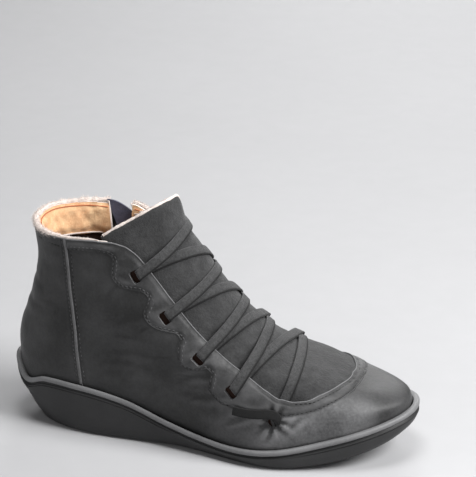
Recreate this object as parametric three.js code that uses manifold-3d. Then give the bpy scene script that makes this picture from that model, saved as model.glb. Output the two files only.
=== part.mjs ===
// Lace-up ankle boot for the right foot, with a moulded cupsole, a flat zig-zag lace and a zip on the inner side.
// Millimetres, +Z up, +X toward the toe, +Y toward the inner (medial) side of the foot.
// The origin is the middle of the heel's flat spot on the floor.
import * as THREE from "three";
import { mergeVertices } from "three/addons/utils/BufferGeometryUtils.js";
import Module from "manifold-3d";

// Form of the last and the sole
const LENGTH = 272; // rim of the sole, from heel to toe
const BALL_WIDTH = 102; // rim of the sole across the ball of the foot
const COLLAR_WIDTH = 62; // across the top of the shaft
const RIM_HEIGHT = 41; // rim of the sole above the floor, at the back of the heel
const UPPER_RISE = 120; // tongue top above the toe's rim
const TOE_SPRING = 18; // bottom of the sole above the floor, at the toe
const ARCH_RISE = 1.2; // relief between the heel's and the forefoot's flat spots
const HEEL_ROCKER = 20; // how far the tread starts inside the rim at the back
const TOE_TUCK = 10; // and at the toe
const SIDE_TUCK = 5; // and at the sides of the ball
const TREAD_ROUNDING = 1.5; // height of the rounded edge under the sole
const BEAD_HEIGHT = 3.2; // rounded rim bead
const GROOVE_DEPTH = 1.5; // groove under the bead
const GROOVE_HEIGHT = 1.6;
const HEEL_CENTRE = 52; // middle of the heel's flat spot, from the back of the rim
const GAP = 0.3; // between touching pieces

// Walls and fittings
const WALL = 2.2; // leather with its lining
const OVERLAY = 0.7; // height of a raised eyestay or seam
const SEAM_WIDTH = 3.2; // raised counter and vamp seams
const INSOLE_THICKNESS = 3;
const TONGUE_THICKNESS = 2.5;
const TONGUE_CROWN = 1.8; // how far the tongue swells out through the throat
const LACE_WIDTH = 7;
const LACE_THICKNESS = 1.2;
const LACE_CLEARANCE = 0.6; // between the lace and what it passes over or under
const SLOT_WIDTH = 3.2; // lace slots, across
const SLOT_LENGTH = 8.4; // lace slots, along the throat
const LACE_HOLE = 8.2; // round hole at each end of the lace
const LACE_END_LENGTH = 32;
const KNOT_LENGTH = 14;
const KNOT_WIDTH = 10;
const KNOT_HEIGHT = 5;
const ZIP_OPENING = 9; // between the leather edges
const TAPE_WIDTH = 22;
const TAPE_THICKNESS = 0.8;
const TEETH_WIDTH = 4;
const TEETH_THICKNESS = 1.5;
const GUARD_WIDTH = 17;
const GUARD_THICKNESS = 1;
const SLIDER_LENGTH = 9;
const SLIDER_WIDTH = 8;
const SLIDER_HEIGHT = 3;
const LUG_THICKNESS = 1.3;
const PIN_RADIUS = 0.7;
const PIN_CLEARANCE = 0.35; // around the pin, and beside the pull between its lugs
const PULL_LENGTH = 21;
const PULL_WIDTH = 4;
const PULL_THICKNESS = 1.2;
const PULL_EYE_WALL = 0.8;

// Fineness of the curved surfaces
const COLUMNS = 56;
const ROW_STEP = 0.5;
const TOP_ROW = 9;

// Plan outline of the rim: half-widths as shares of the ball width, by share of the length.
const OUTLINE = [
  { along: 0, lateral: 0.559, medial: 0.559 },
  { along: 0.15, lateral: 0.466, medial: 0.461 },
  { along: 0.35, lateral: 0.387, medial: 0.358 },
  { along: 0.5, lateral: 0.436, medial: 0.363 },
  { along: 0.68, lateral: 0.569, medial: 0.47 },
  { along: 0.8, lateral: 0.578, medial: 0.559 },
  { along: 0.9, lateral: 0.603, medial: 0.627 },
  { along: 1, lateral: 0.627, medial: 0.686 },
];

// Heights of the rim and the footbed as shares of the rim height.
const LEVELS = [
  { along: 0, rim: 1, footbed: 0.58 },
  { along: 0.035, rim: 0.77, footbed: 0.57 },
  { along: 0.1, rim: 0.866, footbed: 0.56 },
  { along: 0.18, rim: 0.854, footbed: 0.54 },
  { along: 0.3, rim: 0.72, footbed: 0.46 },
  { along: 0.42, rim: 0.463, footbed: 0.31 },
  { along: 0.55, rim: 0.293, footbed: 0.19 },
  { along: 0.7, rim: 0.33, footbed: 0.19 },
  { along: 0.85, rim: 0.56, footbed: 0.33 },
  { along: 1, rim: 0.84, footbed: 0.61 },
];

// Girths of the upper, from the rim (row 1) to above the tongue (row 10). Ends as shares of the length, rises as
// shares of the upper's rise over the rim, widths as shares of the rim's and the collar's half-widths, and how
// level the girth has become, where the rim is wavy.
const GIRTHS = [
  { row: 1, back: 0.0147, backRise: 0, front: 0.983, frontRise: 0, foot: 0.91, ankle: 0, level: 0 },
  { row: 2, back: 0.013, backRise: 0.108, front: 0.971, frontRise: 0.046, foot: 0.884, ankle: 0.075, level: 0.35 },
  { row: 3, back: 0.02, backRise: 0.208, front: 0.926, frontRise: 0.083, foot: 0.728, ankle: 0.294, level: 0.7 },
  { row: 4, back: 0.033, backRise: 0.3, front: 0.849, frontRise: 0.125, foot: 0.522, ankle: 0.561, level: 0.93 },
  { row: 5, back: 0.046, backRise: 0.392, front: 0.75, frontRise: 0.204, foot: 0.287, ankle: 0.86, level: 1 },
  { row: 6, back: 0.057, backRise: 0.492, front: 0.647, frontRise: 0.342, foot: 0.114, ankle: 1.042, level: 1 },
  { row: 7, back: 0.0625, backRise: 0.592, front: 0.557, frontRise: 0.529, foot: 0, ankle: 1.129, level: 1 },
  { row: 8, back: 0.059, backRise: 0.696, front: 0.476, frontRise: 0.758, foot: 0, ankle: 1.048, level: 1 },
  { row: 9, back: 0.0515, backRise: 0.808, front: 0.397, frontRise: 1, foot: 0, ankle: 1, level: 1 },
  { row: 10, back: 0.044, backRise: 0.92, front: 0.32, frontRise: 1.24, foot: 0, ankle: 0.96, level: 1 },
];

// The upper's lower edge on the footbed.
const FEATHER = { back: 0.024, front: 0.972, foot: 0.87 };

// Cut edge of collar and throat: the row where the leather ends, by angle from the heel on each side.
const LATERAL_EDGE = [
  { angle: 0, row: 8.85 },
  { angle: 15, row: 8.75 },
  { angle: 34, row: 8.6 },
  { angle: 60, row: 8.52 },
  { angle: 92, row: 8.5 },
  { angle: 104, row: 8.42 },
  { angle: 110, row: 8.27 },
  { angle: 113.5, row: 8.0 },
  { angle: 115.5, row: 7.6 },
  { angle: 117, row: 7.1 },
  { angle: 118, row: 6.4 },
  { angle: 118.4, row: 5.6 },
  { angle: 118.7, row: 4.8 },
  { angle: 119, row: 4.1 },
  { angle: 120, row: 3.5 },
  { angle: 123, row: 3.15 },
  { angle: 129, row: 3.08 },
  { angle: 139, row: 3.42 },
  { angle: 156, row: 3.88 },
  { angle: 180, row: 4.12 },
];
const MEDIAL_EDGE = [
  { angle: 0, row: 8.85 },
  { angle: 28, row: 8.95 },
  { angle: 52, row: 8.87 },
  { angle: 78, row: 8.76 },
  { angle: 92, row: 8.7 },
  { angle: 100, row: 8.6 },
  { angle: 107, row: 8.4 },
  { angle: 112, row: 8.05 },
  { angle: 115, row: 7.6 },
  { angle: 117, row: 7.1 },
  { angle: 118, row: 6.4 },
  { angle: 118.4, row: 5.6 },
  { angle: 118.7, row: 4.8 },
  { angle: 119, row: 4.1 },
  { angle: 120, row: 3.5 },
  { angle: 123, row: 3.15 },
  { angle: 129, row: 3.1 },
  { angle: 139, row: 3.42 },
  { angle: 156, row: 3.88 },
  { angle: 180, row: 4.12 },
];
const THROAT_ANGLE = 118.4;

// Lace slots down each side of the throat, and the round hole at each end of the lace.
const LATERAL_SLOTS = [
  { row: 7.57, angle: 105 },
  { row: 6.37, angle: 107.5 },
  { row: 4.82, angle: 106 },
  { row: 3.35, angle: 107 },
];
const MEDIAL_SLOTS = [
  { row: 6.6, angle: 108 },
  { row: 5.25, angle: 107.5 },
  { row: 4.1, angle: 108 },
  { row: 3.05, angle: 113 },
];
const LATERAL_HOLE = { row: 2.15, angle: 115 };
const MEDIAL_HOLE = { row: 7.95, angle: 104 };
const LACE_END_AIM = { row: 2.38, angle: 102.6 };

// Eyestay: the raised panel beside the throat, wider in a lobe around each slot.
const EYESTAY_NEAR = 104.5;
const EYESTAY_FAR = 94.5;
const LOBE_ROWS = 0.62;
// Lower edge of the raised panel under the throat.
const VAMP_EDGE = [
  { angle: 100, row: 2.6 },
  { angle: 107, row: 2.38 },
  { angle: 125, row: 2.5 },
  { angle: 143, row: 3.15 },
  { angle: 160, row: 3.68 },
  { angle: 180, row: 3.82 },
];
const COUNTER_SEAM = [
  { row: 1.3, angle: 52 },
  { row: 3.2, angle: 51.6 },
  { row: 5.3, angle: 52.7 },
  { row: 7, angle: 56 },
  { row: 8.45, angle: 63.3 },
];
const VAMP_SEAM = [
  { row: 1.3, angle: 83 },
  { row: 2.2, angle: 94 },
  { row: 3.4, angle: 105 },
  { row: 4.4, angle: 118 },
];
const ZIP_LINE = [
  { row: 1.35, angle: 63 },
  { row: 5, angle: 70 },
  { row: 8.8, angle: 84 },
];
const SLIDER_ROW = 8.3;

// Tongue: side edges and top edge, by angle from the heel.
const TONGUE_SIDES = [
  { row: 2.4, lateral: 104, medial: 104 },
  { row: 7.4, lateral: 103, medial: 104 },
  { row: 8.3, lateral: 93, medial: 98 },
  { row: 9.4, lateral: 91, medial: 97 },
];
const TONGUE_TOP = [
  { angle: 90, row: 8.55 },
  { angle: 104, row: 8.75 },
  { angle: 120, row: 8.95 },
  { angle: 150, row: 9.0 },
  { angle: 180, row: 9.02 },
];
const TONGUE_TUCK = 0.52; // rows that the tongue runs on under the vamp

const wasm = await Module();
wasm.setup();

// Smooth curve through a table's column, with slopes from its neighbours.
function curve(table, key, column, at) {
  const last = table.length - 1;
  const x = Math.min(Math.max(at, table[0][key]), table[last][key]);
  let i = 0;
  while (i < last - 1 && x >= table[i + 1][key]) i += 1;
  const step = (j) => table[j + 1][key] - table[j][key];
  const rate = (j) => (table[j + 1][column] - table[j][column]) / step(j);
  const slope = (j) => {
    if (j === 0) return rate(0);
    if (j === last) return rate(last - 1);
    return (rate(j - 1) * step(j) + rate(j) * step(j - 1)) / (step(j) + step(j - 1));
  };
  const h = step(i);
  const u = (x - table[i][key]) / h;
  return (
    table[i][column] * (2 * u ** 3 - 3 * u ** 2 + 1) +
    h * slope(i) * (u ** 3 - 2 * u ** 2 + u) +
    table[i + 1][column] * (3 * u ** 2 - 2 * u ** 3) +
    h * slope(i + 1) * (u ** 3 - u ** 2)
  );
}

// Straight lines between a table's points, for edges with corners.
function polyline(table, key, column, at) {
  const last = table.length - 1;
  let i = 0;
  while (i < last - 1 && at >= table[i + 1][key]) i += 1;
  const u = Math.min(Math.max((at - table[i][key]) / (table[i + 1][key] - table[i][key]), 0), 1);
  return table[i][column] + u * (table[i + 1][column] - table[i][column]);
}

const ease = (x) => {
  const u = Math.min(Math.max(x, 0), 1);
  return u * u * (3 - 2 * u);
};

// Angles run from 0 at the heel over the lateral side to 180 at the toe, and on over the medial side to 360.
const medial = (angle) => 360 - angle;
const shareOf = (angle) => (1 - Math.cos((angle * Math.PI) / 180)) / 2;

// Half-width of the rim before the sine of the angle, on the side that the angle is on.
function rimHalf(angle) {
  const side = angle <= 180 ? "lateral" : "medial";
  return BALL_WIDTH * curve(OUTLINE, "along", side, shareOf(angle));
}
const rimTop = (angle) => RIM_HEIGHT * curve(LEVELS, "along", "rim", shareOf(angle));
const footbed = (angle) => RIM_HEIGHT * curve(LEVELS, "along", "footbed", shareOf(angle));

// Underside of the sole: flat under heel and ball, relieved at the arch, rising to the toe.
const FLAT_ENDS = { heel: 0.3, ball: 0.55, toe: 0.68 };
function underside(angle) {
  const s = shareOf(angle);
  const toe = Math.max((s - FLAT_ENDS.toe) / (1 - FLAT_ENDS.toe), 0);
  const arch = Math.min(Math.max((s - FLAT_ENDS.heel) / (FLAT_ENDS.ball - FLAT_ENDS.heel), 0), 1);
  return TOE_SPRING * toe ** 2 + ARCH_RISE * Math.sin(Math.PI * arch) ** 2;
}

// A point of a level loop, drawn in from the rim at back, front and sides.
function loopPoint(angle, back, front, side, z) {
  const s = shareOf(angle);
  const half = rimHalf(angle) * (1 - side / (BALL_WIDTH / 2));
  const y = -half * Math.sin((angle * Math.PI) / 180);
  return new THREE.Vector3(back + (LENGTH - front - back) * s, y, z);
}

// Outer face of the upper, by angle and row. Row 0 is the lower edge, and row 1 passes the rim.
function girthPoint(angle, row) {
  const s = shareOf(angle);
  const at = (column) => curve(GIRTHS, "row", column, row);
  const rimChord = rimTop(0) + (rimTop(180) - rimTop(0)) * s;
  const half = rimHalf(angle) * at("foot") + (COLLAR_WIDTH / 2) * at("ankle");
  const rise = at("backRise") + (at("frontRise") - at("backRise")) * s;
  const x = LENGTH * (at("back") + (at("front") - at("back")) * s);
  const z = rimChord + UPPER_RISE * rise + (1 - at("level")) * (rimTop(angle) - rimChord);
  return new THREE.Vector3(x, -half * Math.sin((angle * Math.PI) / 180), z);
}
function featherPoint(angle) {
  const s = shareOf(angle);
  const x = LENGTH * (FEATHER.back + (FEATHER.front - FEATHER.back) * s);
  const y = -rimHalf(angle) * FEATHER.foot * Math.sin((angle * Math.PI) / 180);
  return new THREE.Vector3(x, y, footbed(angle) + GAP);
}
function upperPoint(angle, row) {
  if (row >= 1) return girthPoint(angle, row);
  return featherPoint(angle).lerp(girthPoint(angle, 1), row);
}

// The upper's surface moved inward by a depth, or outward by a negative one.
const PROBE = { angle: 0.6, row: 0.02 };
function upperNormal(angle, row) {
  const around = upperPoint(angle + PROBE.angle, row).sub(upperPoint(angle - PROBE.angle, row));
  const up = upperPoint(angle, row + PROBE.row).sub(upperPoint(angle, row - PROBE.row));
  return around.cross(up).normalize();
}
const skin = (angle, row, depth) => upperPoint(angle, row).addScaledVector(upperNormal(angle, row), -depth);

// Solids from point grids. Each builder returns a manifold-3d solid.
function solid(points, triangles) {
  const geometry = new THREE.BufferGeometry();
  geometry.setAttribute("position", new THREE.Float32BufferAttribute(points.flatMap((p) => [p.x, p.y, p.z]), 3));
  geometry.setIndex(triangles.flat());
  return solidOfGeometry(geometry);
}
function solidOfGeometry(geometry) {
  const bare = geometry.clone();
  for (const name of Object.keys(bare.attributes)) {
    if (name !== "position") bare.deleteAttribute(name);
  }
  const merged = mergeVertices(bare, 1e-4);
  return new wasm.Manifold(
    new wasm.Mesh({
      numProp: 3,
      vertProperties: new Float32Array(merged.attributes.position.array),
      triVerts: new Uint32Array(merged.index.array),
    }),
  );
}
const quad = (a, b, c, d) => [
  [a, b, c],
  [a, c, d],
];
const joined = (solids) => solids.reduce((all, one) => all.add(one));

// Closed rings stacked on each other, each closed across by strips between its two sides.
function stack(rings) {
  const n = rings[0].length;
  const triangles = [];
  for (let j = 0; j < rings.length - 1; j += 1) {
    for (let i = 0; i < n; i += 1) {
      const next = (i + 1) % n;
      triangles.push(...quad(j * n + next, (j + 1) * n + next, (j + 1) * n + i, j * n + i));
    }
  }
  const top = (rings.length - 1) * n;
  for (let i = 0; i < n / 2; i += 1) {
    const strip = [i, i + 1, n - i - 1, (n - i) % n];
    const cap = i === 0 ? [strip.slice(0, 3)] : i === n / 2 - 1 ? [[strip[0], strip[1], strip[3]]] : quad(...strip);
    for (const [a, b, c] of cap) {
      triangles.push([top + a, top + b, top + c]);
      triangles.push([a, c, b]);
    }
  }
  return solid(rings.flat(), triangles);
}

// A sheet with thickness between an outer and an inner face, open or closed round its columns.
function sheet(columns, rows, outer, inner, closed) {
  const points = [];
  for (const face of [outer, inner]) {
    for (let j = 0; j < rows; j += 1) {
      for (let i = 0; i < columns; i += 1) points.push(face(i, j));
    }
  }
  const back = columns * rows;
  const id = (i, j) => j * columns + (i % columns);
  const triangles = [];
  const spans = closed ? columns : columns - 1;
  for (let j = 0; j < rows - 1; j += 1) {
    for (let i = 0; i < spans; i += 1) {
      const [a, b, c, d] = [id(i, j), id(i + 1, j), id(i + 1, j + 1), id(i, j + 1)];
      triangles.push(...quad(a, b, c, d), ...quad(back + d, back + c, back + b, back + a));
    }
  }
  for (let i = 0; i < spans; i += 1) {
    triangles.push(...quad(back + id(i, 0), back + id(i + 1, 0), id(i + 1, 0), id(i, 0)));
    const [a, b] = [id(i, rows - 1), id(i + 1, rows - 1)];
    triangles.push(...quad(a, b, back + b, back + a));
  }
  if (!closed) {
    for (let j = 0; j < rows - 1; j += 1) {
      const [a, b] = [id(0, j), id(0, j + 1)];
      const [c, d] = [id(columns - 1, j), id(columns - 1, j + 1)];
      triangles.push(...quad(a, b, back + b, back + a), ...quad(back + c, back + d, d, c));
    }
  }
  return solid(points, triangles);
}

// A patch of the upper's skin between two depths: place(across, along) gives its angle and row.
function patch(columns, rows, place, outerDepth, innerDepth) {
  const at = (depth) => (i, j) => {
    const { angle, row } = place(i / (columns - 1), j / (rows - 1));
    return skin(angle, row, typeof depth === "function" ? depth(angle, row) : depth);
  };
  return sheet(columns, rows, at(outerDepth), at(innerDepth), false);
}

// A strip of even width that follows a line of rows and angles over the skin.
const degreesPerMm = (angle, row) => 2 / upperPoint(angle + 1, row).distanceTo(upperPoint(angle - 1, row));
function strip(line, side, width, rows, outerDepth, innerDepth, from = line[0].row, to = line.at(-1).row) {
  const place = (across, along) => {
    const row = from + (to - from) * along;
    const angle = side(curve(line, "row", "angle", row));
    return { angle: angle + (across - 0.5) * width * degreesPerMm(angle, row), row };
  };
  return patch(3, rows, place, outerDepth, innerDepth);
}
const lateral = (angle) => angle;

const ringAngles = Array.from({ length: COLUMNS }, (_, i) => (360 * i) / COLUMNS);

// Sole: from the tread out over the side, groove and bead, and down the inner wall to the footbed.
function outsole() {
  const sections = [
    { back: HEEL_ROCKER, front: TOE_TUCK, side: SIDE_TUCK, height: (low) => low },
    {
      back: HEEL_ROCKER * 0.86,
      front: TOE_TUCK * 0.55,
      side: SIDE_TUCK * 0.45,
      height: (low) => low + TREAD_ROUNDING,
    },
    {
      back: HEEL_ROCKER * 0.42,
      front: TOE_TUCK * 0.12,
      side: SIDE_TUCK * 0.1,
      height: (low, top) => low + (top - low) * 0.42,
    },
    { back: 0.8, front: 0.3, side: 0.4, height: (low, top) => top - BEAD_HEIGHT - GROOVE_HEIGHT },
    {
      back: GROOVE_DEPTH,
      front: GROOVE_DEPTH,
      side: GROOVE_DEPTH,
      height: (low, top) => top - BEAD_HEIGHT - GROOVE_HEIGHT / 2,
    },
    { back: 0.4, front: 0.4, side: 0.4, height: (low, top) => top - BEAD_HEIGHT },
    { back: 0, front: 0, side: 0, height: (low, top) => top - BEAD_HEIGHT / 2 },
    { back: 1.1, front: 1.1, side: 1.2, height: (low, top) => top },
  ];
  const rings = sections.map(({ back, front, side, height }) =>
    ringAngles.map((angle) => loopPoint(angle, back, front, side, height(underside(angle), rimTop(angle)))),
  );
  rings.push(ringAngles.map((angle) => skin(angle, 1, -GAP).setZ(rimTop(angle) - GAP)));
  rings.push(ringAngles.map((angle) => skin(angle, 0, -GAP).setZ(footbed(angle))));
  return stack(rings);
}

function insole() {
  const edge = (rise) => (angle) =>
    skin(angle, 0, WALL + 2 * GAP).setZ(footbed(angle) + GAP + rise);
  return stack([ringAngles.map(edge(0)), ringAngles.map(edge(INSOLE_THICKNESS))]);
}

// Everything above the collar and between the throat's edges, as one thick ring that cuts the upper.
function openingCutter() {
  const edge = [
    ...LATERAL_EDGE.map(({ angle, row }) => ({ angle, row })),
    ...MEDIAL_EDGE.slice(1, -1)
      .reverse()
      .map(({ angle, row }) => ({ angle: medial(angle), row })),
  ];
  const rows = 12;
  const reach = 5;
  const at = (depth) => (i, j) => {
    const { angle, row } = edge[i];
    return skin(angle, row + ((TOP_ROW + ROW_STEP - row) * j) / (rows - 1), depth);
  };
  return sheet(edge.length, rows, at(-reach), at(WALL + reach), true);
}

// Raised eyestay on one side: a lobe around each slot.
function eyestay(slots, side) {
  const place = (across, along) => {
    const row = 2.4 + (8.1 - 2.4) * along;
    const lobe = Math.max(...slots.map((slot) => ease(1.35 * (1 - Math.abs(row - slot.row) / LOBE_ROWS))));
    const outer = EYESTAY_NEAR + (EYESTAY_FAR - EYESTAY_NEAR) * lobe;
    return { angle: side(outer + (THROAT_ANGLE + 2 - outer) * across), row };
  };
  const flip = side === lateral ? (a) => a : (a) => 1 - a;
  return patch(3, 29, (across, along) => place(flip(across), along), -OVERLAY, WALL / 2);
}
// Raised panel under the throat, from one eyestay round to the other.
function vampPanel() {
  const place = (across, along) => {
    const angle = 102 + (medial(102) - 102) * across;
    const fromHeel = Math.min(angle, medial(angle));
    const low = curve(VAMP_EDGE, "angle", "row", fromHeel);
    return { angle, row: low + (4.3 - low) * along };
  };
  return patch(25, 3, place, -OVERLAY, WALL / 2);
}

// A frame on the skin: Z outward, Y up the shaft along a line of constant angle, or along a drift in angle per row.
function frameAt({ angle, row }, drift = 0) {
  const out = upperNormal(angle, row);
  const ahead = upperPoint(angle + drift * PROBE.row, row + PROBE.row);
  const up = ahead.sub(upperPoint(angle - drift * PROBE.row, row - PROBE.row));
  const along = up.addScaledVector(out, -up.dot(out)).normalize();
  const across = along.clone().cross(out);
  return new THREE.Matrix4().makeBasis(across, along, out).setPosition(upperPoint(angle, row));
}
// Holes through the wall: a slot along the throat, or a round hole.
function placed(geometry, matrix) {
  return solidOfGeometry(geometry.clone().applyMatrix4(matrix));
}
const onSide = (place, side) => ({ angle: side(place.angle), row: place.row });
const throughDepth = 4 * WALL;
const slotCutter = (place) => placed(new THREE.BoxGeometry(SLOT_WIDTH, SLOT_LENGTH, throughDepth), frameAt(place));
const holeCutter = (place) =>
  placed(
    new THREE.CylinderGeometry(LACE_HOLE / 2, LACE_HOLE / 2, throughDepth, 16).rotateX(Math.PI / 2),
    frameAt(place),
  );

function upper() {
  const rows = [0];
  for (let row = 1; row <= TOP_ROW; row += ROW_STEP) rows.push(row);
  const at = (depth) => (i, j) => skin(ringAngles[i], rows[j], depth);
  const wall = sheet(COLUMNS, rows.length, at(0), at(WALL), true);
  const raised = [
    eyestay(LATERAL_SLOTS, lateral),
    eyestay(MEDIAL_SLOTS, medial),
    vampPanel(),
    strip(COUNTER_SEAM, lateral, SEAM_WIDTH, 8, -OVERLAY, WALL / 2),
    strip(VAMP_SEAM, medial, SEAM_WIDTH, 9, -OVERLAY, WALL / 2),
  ];
  const zipSlot = strip(ZIP_LINE, medial, ZIP_OPENING, 12, -4, WALL + 2, ZIP_LINE[0].row, TOP_ROW + ROW_STEP);
  const cutters = [
    openingCutter(),
    zipSlot,
    ...LATERAL_SLOTS.map((slot) => slotCutter(slot)),
    ...MEDIAL_SLOTS.map((slot) => slotCutter(onSide(slot, medial))),
    holeCutter(LATERAL_HOLE),
    holeCutter(onSide(MEDIAL_HOLE, medial)),
  ];
  return joined([wall, ...raised]).subtract(joined(cutters));
}

// Tongue: tucked under the leather at its sides and swelling out through the throat.
const UNDER_LEATHER = WALL + 2 * LACE_CLEARANCE + LACE_THICKNESS;
function tongueDepth(angle, row) {
  const fromHeel = Math.min(angle, medial(angle));
  const clear = curve(LATERAL_EDGE, "angle", "row", fromHeel);
  const inside = ease((fromHeel - THROAT_ANGLE - 2) / 35);
  const above = ease((row - clear) / 1.2);
  return UNDER_LEATHER - TONGUE_CROWN * inside * above;
}
function tongue() {
  const place = (across, along) => {
    const first = curve(TONGUE_SIDES, "row", "lateral", 2.4 + 7 * along);
    const last = medial(curve(TONGUE_SIDES, "row", "medial", 2.4 + 7 * along));
    const angle = first + (last - first) * across;
    const fromHeel = Math.min(angle, medial(angle));
    const low = polyline(LATERAL_EDGE, "angle", "row", Math.max(fromHeel, 123)) - TONGUE_TUCK;
    const high = curve(TONGUE_TOP, "angle", "row", fromHeel);
    return { angle, row: low + (high - low) * along };
  };
  return patch(23, 14, place, tongueDepth, (angle, row) => tongueDepth(angle, row) + TONGUE_THICKNESS);
}


// Lace: a flat band through its stations, dropping through each slot and doubling back under the leather.
const OVER = -(OVERLAY + LACE_CLEARANCE + LACE_THICKNESS / 2);
const lowPath = (angle, row) => tongueDepth(angle, row) - LACE_CLEARANCE - LACE_THICKNESS / 2;

const WAY_SAMPLES = 40;
// Row at which a plane through a point crosses the skin at an angle.
function rowOnPlane(angle, point, normal) {
  let [low, high] = [1, TOP_ROW + ROW_STEP];
  const rising = normal.dot(upperPoint(angle, high).sub(upperPoint(angle, low))) > 0;
  for (let i = 0; i < 30; i += 1) {
    const middle = (low + high) / 2;
    const beyond = upperPoint(angle, middle).sub(point).dot(normal) > 0 === rising;
    if (beyond) high = middle;
    else low = middle;
  }
  return (low + high) / 2;
}
// The straightest way over the skin between two stations, as angles and rows at even distances.
function straightWay(from, to, spacing) {
  const start = upperPoint(from.angle, from.row);
  const chord = upperPoint(to.angle, to.row).sub(start);
  const middle = (from.angle + to.angle) / 2;
  let row = (from.row + to.row) / 2;
  let normal;
  for (let i = 0; i < 3; i += 1) {
    normal = chord.clone().cross(upperNormal(middle, row));
    row = rowOnPlane(middle, start, normal);
  }
  const fine = Array.from({ length: WAY_SAMPLES + 1 }, (_, i) => {
    const angle = from.angle + ((to.angle - from.angle) * i) / WAY_SAMPLES;
    return { angle, row: rowOnPlane(angle, start, normal), gone: 0 };
  });
  fine.slice(1).forEach((place, i) => {
    const before = fine[i];
    place.gone = before.gone + upperPoint(place.angle, place.row).distanceTo(upperPoint(before.angle, before.row));
  });
  const steps = Math.round(fine.at(-1).gone / spacing);
  return Array.from({ length: steps - 1 }, (_, i) => {
    const gone = (fine.at(-1).gone * (i + 1)) / steps;
    return { angle: polyline(fine, "gone", "angle", gone), row: polyline(fine, "gone", "row", gone) };
  });
}
// A band swept along nodes, each with its point and the direction of its width.
function band(nodes, width, thickness) {
  const corner = (j) => {
    const { point, across } = nodes[j];
    const before = nodes[Math.max(j - 1, 0)].point;
    const after = nodes[Math.min(j + 1, nodes.length - 1)].point;
    const [into, onward] = [point.clone().sub(before).normalize(), after.clone().sub(point).normalize()];
    const way = into.clone().add(onward).normalize();
    const flat = across.clone().addScaledVector(way, -across.dot(way)).normalize();
    const bend = Math.max(way.dot(onward.lengthSq() ? onward : into), 0.6);
    const thick = flat.clone().cross(way).multiplyScalar(thickness / 2 / bend);
    return [
      [0.5, 1],
      [-0.5, 1],
      [-0.5, -1],
      [0.5, -1],
    ].map(([w, t]) => point.clone().addScaledVector(flat, w * width).addScaledVector(thick, t));
  };
  const points = nodes.flatMap((_, j) => corner(j));
  const triangles = [];
  for (let j = 0; j < nodes.length - 1; j += 1) {
    for (let i = 0; i < 4; i += 1) {
      const [a, b] = [4 * j + i, 4 * j + ((i + 1) % 4)];
      triangles.push(...quad(b, a, a + 4, b + 4));
    }
  }
  const end = 4 * (nodes.length - 1);
  triangles.push(...quad(0, 1, 2, 3), ...quad(end + 3, end + 2, end + 1, end));
  return solid(points, triangles);
}
function upShaft(angle, row) {
  const up = upperPoint(angle, row + PROBE.row).sub(upperPoint(angle, row - PROBE.row));
  return up.normalize();
}
function laceStations() {
  const stations = [{ ...onSide(MEDIAL_HOLE, medial), side: medial }];
  LATERAL_SLOTS.forEach((slot, i) => {
    stations.push({ ...slot, side: lateral });
    stations.push({ ...onSide(MEDIAL_SLOTS[i], medial), side: medial });
  });
  stations.push({ ...LATERAL_HOLE, side: lateral });
  return stations;
}
function lace() {
  const stations = laceStations();
  const nodes = [];
  const under = WALL + LACE_CLEARANCE + LACE_THICKNESS / 2;
  const drop = ({ angle, row }, depths, across) => {
    for (const depth of depths) nodes.push({ point: skin(angle, row, depth), across });
  };
  stations.slice(1).forEach((to, i) => {
    const from = stations[i];
    const [first, last] = [i === 0, i === stations.length - 2];
    const way = [from, ...straightWay(from, to, LACE_WIDTH), to];
    const leg = way.slice(1, -1).map(({ angle, row }, j) => {
      const ahead = upperPoint(way[j + 2].angle, way[j + 2].row).sub(upperPoint(way[j].angle, way[j].row));
      const across = upperNormal(angle, row).cross(ahead).normalize();
      if (across.dot(upShaft(angle, row)) < 0) across.negate();
      const inside = Math.min(to.side(angle), 360) - THROAT_ANGLE;
      const high = last ? 0 : 1 - ease((inside - 4) / 42);
      const low = lowPath(angle, row);
      return { point: skin(angle, row, low + (OVER - low) * high), across };
    });
    if (first) drop(from, [-OVERLAY, under], leg[0].across);
    nodes.push(...leg);
    if (last) drop(to, [under, -OVERLAY], leg.at(-1).across);
    else drop(to, [OVER, under], upShaft(to.angle, to.row));
  });
  return band(nodes, LACE_WIDTH, LACE_THICKNESS);
}
function laceEnd() {
  const length = upperPoint(LACE_END_AIM.angle, LACE_END_AIM.row).distanceTo(
    upperPoint(LATERAL_HOLE.angle, LATERAL_HOLE.row),
  );
  const nodes = [0, 0.2, 0.4, 0.6, 0.8, 1].map((t) => {
    const u = (t * LACE_END_LENGTH) / length;
    const angle = LATERAL_HOLE.angle + (LACE_END_AIM.angle - LATERAL_HOLE.angle) * u;
    const row = LATERAL_HOLE.row + (LACE_END_AIM.row - LATERAL_HOLE.row) * u;
    return { point: skin(angle, row, OVER), across: upShaft(angle, row) };
  });
  return band(nodes, LACE_WIDTH, LACE_THICKNESS);
}
function laceKnot() {
  const matrix = frameAt(onSide(MEDIAL_HOLE, medial));
  const ball = new THREE.SphereGeometry(0.5, 14, 9).scale(KNOT_WIDTH, KNOT_LENGTH, KNOT_HEIGHT);
  return placed(ball.translate(0, 0, OVERLAY + GAP + KNOT_HEIGHT / 2), matrix);
}

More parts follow.
